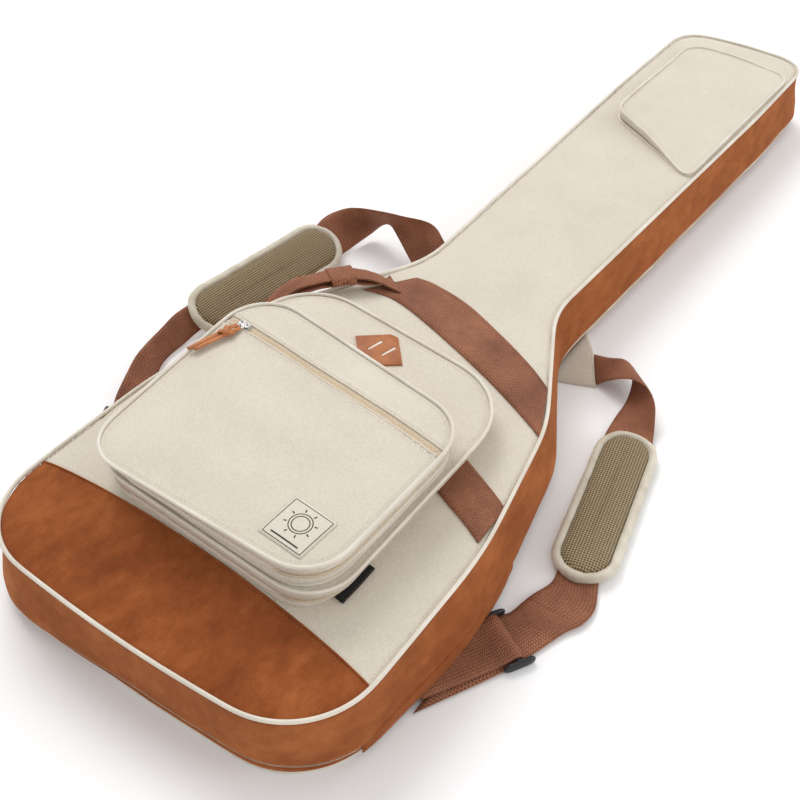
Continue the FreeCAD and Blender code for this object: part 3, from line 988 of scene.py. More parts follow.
def split_wall(prefix, plan, base, split, top, flap_body, base_body, flap_node, base_node, tuck, depth=1.6):
    """A pocket's gusset in two strips with its zip between them."""
    gap = ZIP_GAP
    tape = 3.0 * MM if split - base > 6 * MM else 1.2 * MM
    low_top = split - tape
    rise = low_top - base
    low = [
        (-0.6 * MM, base), (0.4 * MM, base + 0.12 * rise), (1.0 * MM, base + 0.3 * rise),
        (depth * MM, base + 0.6 * rise), (depth * MM, base + 0.8 * rise),
        (depth * 0.9 * MM, low_top - 0.4 * MM), (-0.3 * MM, low_top),
    ]
    piece = wall(prefix + "_gusset_low", plan.loop, low, CANVAS, 1.0 * MM, 12, tuck, (1.0, WAIST))
    finish_piece(piece, base_body, "canvas", base_node)
    high_foot = split + gap + tape
    high = [
        (-0.3 * MM, high_foot), (depth * 0.9 * MM, high_foot + 0.5 * MM), (depth * MM, (high_foot + top) / 2),
        (1.4 * MM, top - 1.5 * MM), (0.3 * MM, top - 0.6 * MM),
    ]
    piece = wall(prefix + "_gusset_high", plan.loop, high, CANVAS, 0.8 * MM, 14, tuck, (WAIST, 0.0))
    finish_piece(piece, flap_body, "canvas", flap_node)
    middle = split + gap / 2
    low_tape = [(-0.5 * MM, low_top - 1.0 * MM), (-0.3 * MM, middle - gap / 2)]
    high_tape = [(-0.3 * MM, middle + gap / 2), (-0.5 * MM, high_foot + 1.0 * MM)]
    for end, profile, body in (("low", low_tape, base_body), ("high", high_tape, flap_body)):
        piece = wall(f"{prefix}_tape_{end}", plan.loop, profile, ZIP_TAPE, 0.0, 0.0, tuck, (WAIST, WAIST))
        finish_piece(piece, body, "zip_tape")
    outs = [Vector((n.x, n.y, 0)) for n in plan.normals]
    for end, shift, body in (("low", -0.5 * MM, base_body), ("high", 0.5 * MM, flap_body)):
        path = []
        for p, n in zip(plan.loop, plan.normals):
            push = 0.1 * MM - WAIST * tuck(p, n)
            path.append(beside(p, n, push, middle + shift))
        sew(f"{prefix}_teeth_{end}", coil_parts(path, outs, reach=SMALL_TEETH), ZIP_COIL, body, "zip_tape")


def edge_stitches(prefix, plan, height, body):
    """The row of stitches just inside a pocket's edge."""
    path = on_surface(offset_loop(plan.loop, -4.2 * MM), height, 0.1 * MM)
    stitches = stitch_parts(path, UP, width=FINE_STITCH, lift=0.22 * MM)
    sew(prefix + "_stitches_1", stitches, THREAD, body, "piping")


def organizer_tuck(p, n):
    """The organizer's foot is drawn in at its sides, and a little along the bottom."""
    return 13 * MM * abs(n.x) ** 1.5 + 3.5 * MM * max(0.0, -n.y) + 2 * MM * max(0.0, n.y)


def pocket_tuck(p, n):
    """The front pocket's foot stands on the organizer, whose bottom edge climbs to the left."""
    bottom = (3 * MM + 11 * MM * smoothstep(0.1, -0.13, p.x)) * max(0.0, -n.y)
    return bottom + 3.5 * MM * abs(n.x)


def no_tuck(p, n):
    """The head pocket's foot is not drawn in."""
    return 0.0


def make_organizer():
    face = ring_surface("organizer_cloth", ORGANIZER_PLAN, organizer_height, CANVAS, 26)
    finish_piece(face, "organizer_flap", "canvas", "organizer_face")
    split_wall("organizer", ORGANIZER_PLAN, FRONT - 0.5 * MM, ORGANIZER_SPLIT, ORGANIZER_TOP,
               "organizer_flap", "cover", "organizer_wall", "organizer_base_wall", organizer_tuck)
    loop = offset_loop(ORGANIZER_PLAN.loop, 1.6 * MM)
    piping_tube("organizer_cord", loop, ORGANIZER_TOP - 0.3 * MM, 1.7 * MM, "organizer_flap",
                "organizer_piping")
    pairs = zip(ORGANIZER_PLAN.loop, ORGANIZER_PLAN.normals)
    foot = [p + n * (0.8 * MM - organizer_tuck(p, n)) for p, n in pairs]
    path = on_surface(foot, front_height, 0.9 * MM)
    sew("organizer_foot_cord", tube_parts(path, 1.6 * MM, sides=8), PIPING, "cover", "piping")
    edge_stitches("organizer", ORGANIZER_PLAN, organizer_height, "organizer_flap")


def zip_strip(offset_a, offset_b, start, end, lift, count=60):
    """A strip along the face zip between two offsets across it."""
    side = Vector((-ZIP_WAY.y, ZIP_WAY.x))
    rows = []
    for i in range(count + 1):
        centre = SLIDER_PLACE + ZIP_WAY * (start + (end - start) * i / count)
        row = [centre + side * (offset_a + (offset_b - offset_a) * k / 4) for k in range(5)]
        rows.append(on_surface(row, pocket_height, lift))
    return rows


def zip_reach():
    """How far the face zip runs each way from the slider's rest place."""
    ends = []
    for sign in (-1, 1):
        reach = 0.0
        while reach < 0.4:
            q = SLIDER_PLACE + ZIP_WAY * sign * reach
            if POCKET_PLAN.share(q.x, q.y) > 0.985:
                break
            reach += 1.0 * MM
        ends.append(sign * reach)
    return ends


def make_front_pocket():
    face = ring_surface("pocket_cloth", POCKET_PLAN, pocket_height, CANVAS, 54)
    finish_piece(face, "pocket_flap", "canvas", "pocket_face", "pocket_face_upper")
    split_wall("pocket", POCKET_PLAN, ORGANIZER_TOP - 0.5 * MM, POCKET_SPLIT, POCKET_TOP, "pocket_flap",
               "organizer_flap", "pocket_wall", "pocket_base_wall", pocket_tuck)
    loop = offset_loop(POCKET_PLAN.loop, 1.6 * MM)
    piping_tube("pocket_cord", loop, POCKET_TOP - 0.3 * MM, 1.7 * MM, "pocket_flap", "pocket_piping")
    path = []
    for p, n in zip(POCKET_PLAN.loop, POCKET_PLAN.normals):
        q = p + n * (0.8 * MM - pocket_tuck(p, n))
        inside = ORGANIZER_PLAN.share(q.x, q.y) < 1
        z = organizer_height(q.x, q.y) if inside else ORGANIZER_TOP
        path.append(Vector((q.x, q.y, z + 0.9 * MM)))
    sew("pocket_foot_cord", tube_parts(path, 1.6 * MM, sides=8), PIPING, "organizer_flap", "piping")
    edge_stitches("pocket", POCKET_PLAN, pocket_height, "pocket_flap")
    start, end = zip_reach()
    strip = loft(zip_strip(-4.2 * MM, 4.2 * MM, start, end, 0.55 * MM), closed_columns=False, flip=True)
    sew("face_zip_cloth", strip, ZIP_TAPE, "pocket_flap", "zip_tape", "face_zip_tape")
    strip = zip_strip(-1 * MM, 1 * MM, start + 4 * MM, end - 3 * MM, 0.0, 90)
    line = [row[2] + Vector((0, 0, 0.7 * MM)) for row in strip]
    sew("face_zip_teeth", coil_parts(line, UP, closed=False), ZIP_COIL, "pocket_flap", "zip_tape")
    folds = []
    rows = []
    for side in (-1, 1):
        strip = zip_strip((side * 4.9 - 1) * MM, (side * 4.9 + 1) * MM, start, end, 0.3 * MM)
        edge = [row[2] for row in strip]
        folds.append(tube_parts(edge, 0.9 * MM, closed=False, sides=7))
        strip = zip_strip((side * 8.0 - 1) * MM, (side * 8.0 + 1) * MM, start + 2 * MM, end - 2 * MM,
                          0.1 * MM)
        seam = [row[2] for row in strip]
        rows.append(stitch_parts(seam, UP, closed=False, width=FINE_STITCH, lift=0.22 * MM))
    sew("face_zip_folds", joined(folds), CANVAS, "pocket_flap", "canvas")
    sew("face_zip_stitches", joined(rows), THREAD, "pocket_flap", "piping")


def make_head_pocket():
    face = ring_surface("head_pocket_cloth", HEAD_PLAN, head_height, CANVAS, 22)
    finish_piece(face, "head_flap", "canvas", "head_pocket_face")
    split_wall("head_pocket", HEAD_PLAN, FRONT - 0.5 * MM, HEAD_SPLIT, HEAD_TOP, "head_flap", "cover",
               "head_pocket_wall", "head_pocket_base_wall", no_tuck, depth=1.4)
    loop = offset_loop(HEAD_PLAN.loop, 1.4 * MM)
    piping_tube("head_pocket_cord", loop, HEAD_TOP - 0.3 * MM, 1.6 * MM, "head_flap", "head_pocket_piping")
    path = on_surface(offset_loop(HEAD_PLAN.loop, 1.2 * MM), front_height, 0.7 * MM)
    sew("head_pocket_foot_cord", tube_parts(path, 1.5 * MM, sides=8), PIPING, "cover", "piping")
    edge_stitches("head_pocket", HEAD_PLAN, head_height, "head_flap")


def lower_head_pocket():
    """The head pocket thins towards its right edge, where it runs into the panel's piping."""
    for obj in bpy.data.objects:
        sewn = obj.name.startswith("head_pocket_") and obj.name not in frame["nodes"]
        if obj.type == "MESH" and sewn and "foot" not in obj.name:
            for v in obj.data.vertices:
                share = 1.5 - 0.6 * smoothstep(0.98, 1.14, v.co.y)
                share *= 1 - 0.72 * smoothstep(-0.01, 0.085, v.co.x)
                v.co.z = FRONT + (v.co.z - FRONT) * share


# ---------------------------------------------------------------- bands, labels and tabs

def draped_ribbon(name, pairs, material, body, slot, *nodes, lift=1.1 * MM, thickness=1.7 * MM):
    """Webbing sewn flat onto the front: it is filled in along and across, so it follows the crown."""
    low = spline([Vector((a[0] * MM, a[1] * MM, 0)) for a, _ in pairs], 8)
    high = spline([Vector((b[0] * MM, b[1] * MM, 0)) for _, b in pairs], 8)
    rows = []
    uvs = []
    travelled = 0.0
    columns = 12
    for index, (a, b) in enumerate(zip(low, high)):
        if index:
            travelled += ((a + b) / 2 - (low[index - 1] + high[index - 1]) / 2).length
        row = []
        for top in (True, False):
            for c in range(columns + 1):
                share = c / columns if top else 1 - c / columns
                q = a.lerp(b, share)
                edge = 0.35 if c in (0, columns) else 1.0
                rise = lift + thickness / 2 * (edge if top else -edge)
                row.append(on_front(q.x, q.y, rise))
                uvs.append((share * (b - a).length, travelled))
        rows.append(row)
    sew(name, loft(rows), material, body, slot, *nodes, uvs=uvs)
    parts = []
    for share in (0.07, 0.93):
        path = []
        for a, b in zip(low[1:-1], high[1:-1]):
            q = a.lerp(b, share)
            path.append(Vector((q.x, q.y, front_height(q.x, q.y) + lift + thickness / 2)))
        parts.append(stitch_parts(path, UP, closed=False, width=0.7 * MM, lift=0.25 * MM))
    sew(name + "_stitches", joined(parts), WEB_THREAD, body, slot)


def make_bands():
    upper = [((-104, 466), (-69, 516)), ((-66, 469), (-44, 516)), ((-12, 454), (4, 506)),
             ((44, 434), (58, 484)), ((101, 411), (104, 463)), ((162, 383), (133, 447))]
    draped_ribbon("upper_band", upper, WEBBING, "cover", "webbing", "web_band_upper")
    lower = [((120, 271), (120, 319)), ((138, 263), (138, 311)), ((160, 254), (160, 301)),
             ((183, 243), (181, 291))]
    draped_ribbon("lower_band", lower, WEBBING, "cover", "webbing", "web_band_lower")
    left = [((-160, 388), (-149, 424)), ((-145, 379), (-133, 424)), ((-125, 372), (-112, 420))]
    draped_ribbon("lower_band_left", left, WEBBING, "cover", "webbing")
    tab = [((121, 169), (130, 168)), ((121.5, 147), (130.5, 147)), ((121, 126), (130, 125))]
    draped_ribbon("plain_tab", tab, BLACK_WEB, "cover", "black_web", "woven_tab", lift=1.6 * MM,
                  thickness=2.2 * MM)


def make_lash_tab():
    """The six-sided leather tab, from the CAD plate with its edges rounded, laid on the organizer's crown."""
    low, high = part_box("lash_tab")
    mesh = frame["nodes"]["lash_tab"].data.copy()
    mesh.name = "lash_patch"
    patch = bpy.data.objects.new("lash_patch", mesh)
    bpy.context.scene.collection.objects.link(patch)
    mesh.materials.clear()
    mesh.materials.append(PATCH_LEATHER)
    weld = patch.modifiers.new("weld", "WELD")
    weld.merge_threshold = 0.01 * MM
    bevel = patch.modifiers.new("bevel", "BEVEL")
    bevel.width = 0.55 * MM
    bevel.segments = 3
    bevel.limit_method = "ANGLE"
    bake_modifiers(patch)
    for v in patch.data.vertices:
        v.co.z += organizer_height(v.co.x, v.co.y) - low.z + 0.1 * MM
    patch.data.polygons.foreach_set("use_smooth", [True] * len(patch.data.polygons))
    patch.data.update()
    finish_piece(patch, "organizer_flap", "patch_leather", "lash_tab")
    thick = high.z - low.z
    parts = []
    for x in (-19 * MM, -3 * MM):
        y = 372 * MM
        centre = Vector((x, y, organizer_height(x, y) + thick - 0.9 * MM))
        parts.append(rounded_box_parts(centre, (9.2 * MM, 1.7 * MM, 0.5 * MM), Vector((0.25, 1, 0)),
                                       power=6.0))
    sew("lash_patch_slots", joined(parts), PIPING, "organizer_flap", "piping")
    loop = counter_clockwise(plan_loop("lash_tab"))
    inner = offset_loop(resample(loop, 2.5 * MM, smooth=1), -2.6 * MM)
    path = [Vector((p.x, p.y, organizer_height(p.x, p.y) + thick + 0.1 * MM)) for p in inner]
    sew("lash_patch_stitches", stitch_parts(path, UP, pitch=2.9 * MM, length=2.1 * MM, width=FINE_STITCH),
        SUEDE_THREAD, "organizer_flap", "patch_leather")


def bake_modifiers(obj):
    """Replace a piece's mesh by what its modifiers make of it."""
    depsgraph = bpy.context.evaluated_depsgraph_get()
    mesh = bpy.data.meshes.new_from_object(obj.evaluated_get(depsgraph))
    obj.modifiers.clear()
    obj.data = mesh


def grid_patch(name, corner, side_a, side_b, height, lift, thick, material, count=16):
    """A thin sewn label over a surface."""
    rows = []
    for r in range(count + 1):
        row = []
        for level in (1, 0):
            for c in range(count + 1):
                share = c / count if level else 1 - c / count
                q = corner + side_a * share + side_b * (r / count)
                soft = 0.4 if c in (0, count) or r in (0, count) else 1.0
                rise = lift + (thick * soft if level else 0.0)
                row.append(Vector((q.x, q.y, height(q.x, q.y) + rise)))
        rows.append(row)
    vertices, faces = loft(rows)
    width = len(rows[0])
    faces.append(tuple(reversed(range(width))))
    faces.append(tuple(range(count * width, count * width + width)))
    return new_object(name, vertices, faces, material)


def ink_line(points, height, lift, width):
    """A flat printed line through plan points."""
    rows = []
    for index, p in enumerate(points):
        before = points[max(index - 1, 0)]
        after = points[min(index + 1, len(points) - 1)]
        along = (after - before).normalized()
        side = Vector((-along.y, along.x)) * width / 2
        row = []
        for q, rise in ((p - side, 0.0), (p, 0.06 * MM), (p + side, 0.0)):
            row.append(Vector((q.x, q.y, height(q.x, q.y) + lift + rise)))
        rows.append(row)
    return loft(rows, closed_columns=False, flip=True)


def plan_line(a, b, count=12):
    return [a.lerp(b, i / count) for i in range(count + 1)]


def make_label():
    """A plain cloth label: a thin frame and a simple ring ornament, with no lettering."""
    low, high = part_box("label_patch")
    middle = Vector(((low.x + high.x) / 2, (low.y + high.y) / 2))
    along = Vector((1, -0.07)).normalized() * 45 * MM
    across = Vector((-along.y, along.x))
    corner = middle - along / 2 - across / 2
    piece = grid_patch("cloth_label", corner, along, across, pocket_height, 0.35 * MM, 0.8 * MM, LABEL)
    finish_piece(piece, "pocket_flap", "label", "label_patch")
    lift = 1.2 * MM
    u = along / 45
    v = across / 45
    parts = []
    frame_corners = [corner + u * a + v * b for a, b in ((2.5, 2.5), (42.5, 2.5), (42.5, 42.5), (2.5, 42.5))]
    for a, b in zip(frame_corners, frame_corners[1:] + frame_corners[:1]):
        parts.append(ink_line(plan_line(a, b), pocket_height, lift, 0.7 * MM))
    centre = corner + u * 22.5 + v * 25.5
    for radius in (10.0, 7.5):
        circle = [centre + u * math.cos(t) * radius + v * math.sin(t) * radius
                  for t in (math.tau * i / 40 for i in range(41))]
        parts.append(ink_line(circle, pocket_height, lift, 0.9 * MM))
    for k in range(8):
        t = math.tau * (k + 0.5) / 8
        ray = u * math.cos(t) + v * math.sin(t)
        parts.append(ink_line(plan_line(centre + ray * 11.8, centre + ray * 14.6, 4), pocket_height, lift,
                              1.2 * MM))
    parts.append(ink_line(plan_line(corner + u * 8 + v * 6.4, corner + u * 37 + v * 6.4), pocket_height,
                          lift, 1.5 * MM))
    sew("label_print", joined(parts), LABEL_INK, "pocket_flap", "label")


# ---------------------------------------------------------------- shell and lining

def make_back():
    """The back panel, flat where it rests, with its edge rolled up into the piping."""
    plan = Plan("back_panel", 6 * MM, -5.6 * MM)

    def underside(x, y):
        share = min(1.0, plan.share(x, y))
        lift = 1.9 * MM * smoothstep(0.955, 1.0, share)
        return 0.05 * MM + lift + 0.12 * MM * (1 + ripple(x, y, 0, 0.05, 70))

    piece = ring_surface("back_cloth", plan, underside, CANVAS, 24)
    piece.data.flip_normals()
    finish_piece(piece, "shell", "canvas", "back_panel", "back_foam")
    parts = []
    for inset in (16 * MM, 20 * MM):
        path = on_surface(offset_loop(plan.loop, -inset), underside, 0.05 * MM)
        parts.append(stitch_parts(path, Vector((0, 0, -1)), lift=0.02 * MM))
    sew("back_stitches", joined(parts), THREAD, "shell", "piping")


def quilt(x, y, pitch=62 * MM):
    """0 on the diagonal seams of a quilted lining and 1 between them."""
    a = abs(math.sin(math.pi * (x + y * 0.9) / pitch))
    b = abs(math.sin(math.pi * (x - y * 0.9) / pitch))
    return min(1.0, 2.2 * min(a, b)) ** 0.6


def make_lining():
    """The quilted floor of the shell, the cover's ceiling and walls, and the shell's rim."""
    plan = Plan("back_lining", 5 * MM)

    def floor_height(x, y):
        share = min(1.0, plan.share(x, y))
        return LINING_TOP - 2.0 * MM + 2.6 * MM * quilt(x, y) * (1 - smoothstep(0.93, 1.0, share))

    finish_piece(ring_surface("shell_lining", plan, floor_height, LINING, 70), "shell", "lining",
                 "back_lining")
    ceiling_plan = Plan("front_lining", 5 * MM)

    def ceiling_height(x, y):
        share = min(1.0, ceiling_plan.share(x, y))
        return COVER_LINING + 2.0 * MM - 2.4 * MM * quilt(x, y) * (1 - smoothstep(0.94, 1.0, share))

    ceiling = ring_surface("cover_lining", ceiling_plan, ceiling_height, LINING, 60)
    ceiling.data.flip_normals()
    finish_piece(ceiling, "cover", "lining", "front_lining")
    loop = plan_curve("back_foam", 0.0, 5 * MM)
    normals = outward(loop)
    rim = UPPER_TAPE_BASE + 0.8 * MM
    rows = []
    for inset, z in ((1.8, rim), (-2.0, rim - 0.2 * MM), (-6.0, rim + 0.1 * MM), (-9.2, rim + 2.4 * MM),
                     (-9.6, 30 * MM), (-9.2, 45 * MM), (-9.6, 58 * MM), (-9.4, COVER_LINING + 2.2 * MM)):
        row = []
        for p, n in zip(loop, normals):
            push = (inset + 0.5 * ripple(p.x, p.y, z, 0.05, 81)) * MM if z > 20 * MM else inset * MM
            if inset > 0:
                push = wall_offset(p, n, z) - 1.2 * MM
            row.append(beside(p, n, push, z))
        rows.append(row)
    sew("cover_wall_lining", loft(rows, flip=True), LINING, "cover", "lining", "gusset_lining")
    rows = []
    for inset, z in ((2.0, LOWER_TAPE_TOP - 0.7 * MM), (-0.5, LOWER_TAPE_TOP - 0.5 * MM),
                     (-3.4, LINING_TOP - 1.6 * MM)):
        row = []
        for p, n in zip(loop, normals):
            push = wall_offset(p, n, z) - 1.2 * MM if inset > 0 else inset * MM
            row.append(beside(p, n, push, z))
        rows.append(row)
    sew("shell_rim", loft(rows), BINDING, "shell", "lining")


def make_cradle():
    """The padded block that the instrument's neck lies in."""
    low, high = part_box("neck_cradle")
    floor_z = LINING_TOP - 1.0 * MM
    outer = [(-66, 0), (-66, 0.72), (-62, 0.94), (-54, 1.0), (-44, 0.99), (-37, 0.92), (-33.5, 0.78),
             (-31, 0.66), (-22, 0.585), (-8, 0.56), (8, 0.56), (22, 0.585), (31, 0.66), (33.5, 0.78),
             (37, 0.92), (44, 0.99), (54, 1.0), (62, 0.94), (66, 0.72), (66, 0)]
    section = spline([Vector((x * MM, 0.0, share)) for x, share in outer], 3)
    rows = []
    count = 22
    for r in range(count + 1):
        share = r / count
        y = low.y + (high.y - low.y) * share
        end = 1 - (2 * share - 1) ** 8
        row = []
        for q in section:
            puff = 0.6 * MM * ripple(q.x, y, q.z * 0.05, 0.03, 90)
            z = floor_z + (high.z - floor_z) * q.z * (0.86 + 0.14 * end) + puff * end
            row.append(Vector((q.x * (0.985 + 0.015 * end), y, z)))
        rows.append(row)
    vertices, faces = loft(rows, closed_columns=False)
    width = len(rows[0])
    faces.append(tuple(reversed(range(width))))
    faces.append(tuple(range(count * width, count * width + width)))
    piece = finish_piece(new_object("neck_rest_pad", vertices, faces, LINING), "shell", "lining",
                         "neck_cradle")
    parts = []
    for share in (0.12, 0.88):
        y = low.y + (high.y - low.y) * share
        path = [Vector((q.x, y, floor_z + (high.z - floor_z) * q.z * 0.99 + 0.3 * MM)) for q in section[3:-3]]
        parts.append(stitch_parts(path, UP, closed=False))
    sew("neck_rest_stitches", joined(parts), SUEDE_THREAD, "shell", "lining")


def hinge_strip(name, path, normals, heights, out, material, slot, body_a, body_b, joint_name):
    """Cloth across a hinge, between one body below the split and the other above it. It rides on neither:
    body_a and body_b are not used.
    """
    rows = []
    low = heights[0]
    high = heights[-1]
    for z in heights:
        height = (z - low) / (high - low)
        bulge = out + 0.7 * MM * math.sin(math.pi * height)
        sink = smoothstep(-0.02, 0.12, height) * smoothstep(1.02, 0.88, height)
        row = []
        for index, (p, n) in enumerate(zip(path, normals)):
            share = index / (len(path) - 1)
            fade = sink * smoothstep(0, 0.1, share) * smoothstep(1, 0.9, share)
            bow = bulge * fade - 0.8 * MM * (1 - fade)
            row.append(Vector((p[0] + n.x * bow, p[1] + n.y * bow, z)))
        rows.append(row)
    vertices, faces = loft(rows, closed_columns=False)
    piece = new_object(name, vertices, faces, material)
    thicken(piece, 0.9 * MM)
    finish_piece(piece, None, slot)
    pivot = Vector(joint_of(joint_name)["pos_m"])
    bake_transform(piece)


def thicken(obj, thickness):
    solid = obj.modifiers.new("thickness", "SOLIDIFY")
    solid.thickness = thickness
    solid.offset = 0.0
    bake_modifiers(obj)
    obj.data.polygons.foreach_set("use_smooth", [True] * len(obj.data.polygons))


def make_hinges():
    """The suede hinge of the cover on the right side, and the cloth hinges of the pockets."""
    loop = plan_curve("back_foam", 0.0, WALL_STEP)
    normals = outward(loop)
    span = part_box("hinge_tape")
    chosen = [i for i, p in enumerate(loop) if p.x > 0.1 and span[0].y < p.y < span[1].y]
    chosen.sort(key=lambda i: loop[i].y)
    path = []
    for i in chosen:
        push = wall_offset(loop[i], normals[i], (LOWER_TAPE_TOP + UPPER_TAPE_BASE) / 2)
        path.append(loop[i] + normals[i] * push)
    heights = [LOWER_TAPE_TOP - 8 * MM + 17.2 * MM * i / 16 for i in range(17)]
    hinge_strip("cover_hinge_suede", path, [normals[i] for i in chosen], heights, 0.3 * MM, SUEDE,
                "hinge_cloth", "shell", "cover", "cover_hinge")
    for prefix, plan, split, bodies, joint_name, way, tuck in (
        ("organizer", ORGANIZER_PLAN, ORGANIZER_SPLIT, ("cover", "organizer_flap"), "organizer_hinge", -1,
         organizer_tuck),
        ("pocket", POCKET_PLAN, POCKET_SPLIT, ("organizer_flap", "pocket_flap"), "pocket_hinge", -1,
         pocket_tuck),
        ("head_pocket", HEAD_PLAN, HEAD_SPLIT, ("cover", "head_flap"), "head_pocket_hinge", 1, no_tuck),
    ):
        chosen = [i for i, n in enumerate(plan.normals) if n.y * way > 0.985]
        chosen.sort(key=lambda i: plan.loop[i].x)
        height = 3.2 * MM if prefix != "head_pocket" else 2.0 * MM
        heights = [split + 0.3 * MM + height * (i / 5 - 1) for i in range(11)]
        path = [plan.loop[i] - plan.normals[i] * WAIST * tuck(plan.loop[i], plan.normals[i]) for i in chosen]
        hinge_strip(prefix + "_hinge_cloth", path, [plan.normals[i] for i in chosen], heights,
                    1.4 * MM, CANVAS, "canvas", bodies[0], bodies[1], joint_name)


# ---------------------------------------------------------------- shoulder straps

def strap_wave(p):
    """A strap's slow unevenness in height."""
    return 0.5 * MM * ripple(p.x, p.y, 0, 0.03, 102)


def strap(name, pairs, body, *nodes, thickness=2.1 * MM, rows_of_stitches=()):
    """Shoulder webbing through pairs of edge points in millimetres, with the rows of stitches across it."""
    steps = 7
    stations = [tuple(Vector(end) * MM for end in pair) for pair in pairs]
    vertices, faces, uvs = ribbon_parts(stations, thickness, steps)
    for v in vertices:
        v.z = max(v.z + strap_wave(v), 0.3 * MM)
    piece = sew(name, (vertices, faces), WEBBING, body, "webbing", *nodes, uvs=uvs)
    low = spline([s[0] for s in stations], steps)
    high = spline([s[1] for s in stations], steps)
    parts = []
    for share in rows_of_stitches:
        index = round(share * (len(low) - 1))
        after = min(index + 1, len(low) - 1)
        a = low[index]
        b = high[index]
        along = (low[after] + high[after] - a - b).normalized()
        normal = (b - a).cross(along).normalized()
        normal = normal if normal.z > 0 else -normal
        path = [a.lerp(b, 0.05 + 0.9 * i / 12) + normal * thickness * 0.52 for i in range(13)]
        for p in path:
            p.z += strap_wave(p)
        parts.append(stitch_parts(path, normal, closed=False, pitch=3.2 * MM, length=2.3 * MM,
                                  width=FINE_STITCH))
    if parts:
        sew(name + "_stitches", joined(parts), WEB_THREAD, body, "webbing")
    return piece


def canvas_tab(name, corners, node):
    """A sewn canvas triangle between the bag and a strap."""
    a, b, c, d = [Vector(p) * MM for p in corners]
    rows = []
    count = 12
    for r in range(count + 1):
        row = []
        for k in range(count + 1):
            low = a.lerp(b, k / count)
            high = d.lerp(c, k / count)
            p = low.lerp(high, r / count)
            inner = min(r, count - r, k, count - k) / (count / 2)
            p.z += 1.1 * MM * min(1.0, inner * 2) + 0.4 * MM * ripple(p.x, p.y, 0, 0.02, 111)
            row.append(p)
        rows.append(row)
    vertices, faces = loft(rows, closed_columns=False)
    piece = new_object(name, vertices, faces, CANVAS)
    thicken(piece, 2.4 * MM)
    finish_piece(piece, "shell", "canvas", node)
    centre = (a + b + c + d) / 4
    path = []
    for p, q in ((a, b), (b, c), (c, d)):
        for i in range(8):
            edge = p.lerp(q, i / 8)
            path.append(edge.lerp(centre, 0.16) + Vector((0, 0, 2.3 * MM)))
    sew(name + "_stitches", stitch_parts(path, UP, closed=False), THREAD, "shell", "piping")


def stadium(length, width, round_steps=14, straight_steps=20):
    """A pill shape about the origin, lying along X: spine points with their outward normals."""
    half = (length - width) / 2
    points = []
    for i in range(straight_steps):
        points.append((Vector((-half + 2 * half * i / straight_steps, 0)), Vector((0, -1))))
    for i in range(round_steps):
        turn = -math.pi / 2 + math.pi * i / round_steps
        points.append((Vector((half, 0)), Vector((math.cos(turn), math.sin(turn)))))
    for i in range(straight_steps):
        points.append((Vector((half - 2 * half * i / straight_steps, 0)), Vector((0, 1))))
    for i in range(round_steps):
        turn = math.pi / 2 + math.pi * i / round_steps
        points.append((Vector((-half, 0)), Vector((math.cos(turn), math.sin(turn)))))
    return points


def pad_surface(name, outline, profile, place, material, crumple, seed):
    """Rings of a pad: profile gives each ring's reach from the spine and its height."""
    rows = []
    uvs = []
    for reach, z in profile:
        row = []
        for base, n in outline:
            bend = abs(n.x) ** 2
            pucker = crumple * (0.35 + bend)
            pucker *= ripple(base.x + n.x * 0.03, base.y + n.y * 0.03, z * 3, 0.009, seed)
            q = base + n * (reach + pucker)
            lift = 0.6 * crumple * ripple(q.x, q.y, 0, 0.019, seed + 3)
            row.append(place(Vector((q.x, q.y, z + lift))))
            uvs.append((q.x, q.y))
        rows.append(row)
    vertices, faces = loft(rows)
    width = len(outline)
    faces.append(tuple(range((len(rows) - 1) * width, len(rows) * width)))
    return new_object(name, vertices, faces, material, uvs)


def shoulder_pad(side, centre, length, width, angle, tilt, seed):
    """A moulded pad: a bound edge round a raised panel of spacer mesh."""
    turn = Matrix.Translation(Vector(centre) * MM) @ Matrix.Rotation(math.radians(angle), 4, "Z")
    turn = turn @ Matrix.Rotation(math.radians(tilt), 4, "X")
    half = length / 2 * MM

    def place(p):
        bow = 2.5 * MM * (p.x / half) ** 2
        return turn @ Vector((p.x, p.y, p.z + bow))

    outline = stadium(length * MM, width * MM)
    edge = width / 2 * MM
    bound = [(0.5, 1.2), (12, 1.0), (edge / MM - 7, 1.2), (edge / MM - 3, 2.2), (edge / MM - 0.6, 4.4),
             (edge / MM, 7.0), (edge / MM - 0.8, 9.6), (edge / MM - 3, 11.6), (edge / MM - 5.5, 12.2),
             (edge / MM - 7.6, 11.4), (edge / MM - 8.6, 9.6), (edge / MM - 9.4, 8.0)]
    piece = pad_surface("pad_binding_" + side, outline, [(r * MM, z * MM) for r, z in bound], place, BINDING,
                        1.7 * MM, seed)
    finish_piece(piece, "shell", "pad_binding", "shoulder_pad_" + side)
    inner = edge / MM - 8.7
    face = [(inner, 8.6), (inner - 0.4, 10.4), (inner - 2.0, 12.0), (inner - 5.0, 13.2), (inner - 9, 13.8),
            (inner * 0.42, 14.2), (inner * 0.2, 14.3), (0.4, 14.3)]
    piece = pad_surface("pad_mesh_face_" + side, outline, [(r * MM, z * MM) for r, z in face], place, MESH,
                        0.25 * MM, seed + 8)
    finish_piece(piece, "shell", "spacer_mesh", "pad_mesh_" + side)
    path = [place(Vector((*(b + n * (edge - 6.6 * MM)), 12.2 * MM))) for b, n in outline]
    stitches = stitch_parts(path, turn.to_3x3() @ UP, pitch=3.6 * MM, length=2.4 * MM, width=FINE_STITCH)
    sew("pad_stitches_" + side, stitches, THREAD, "shell", "pad_binding")


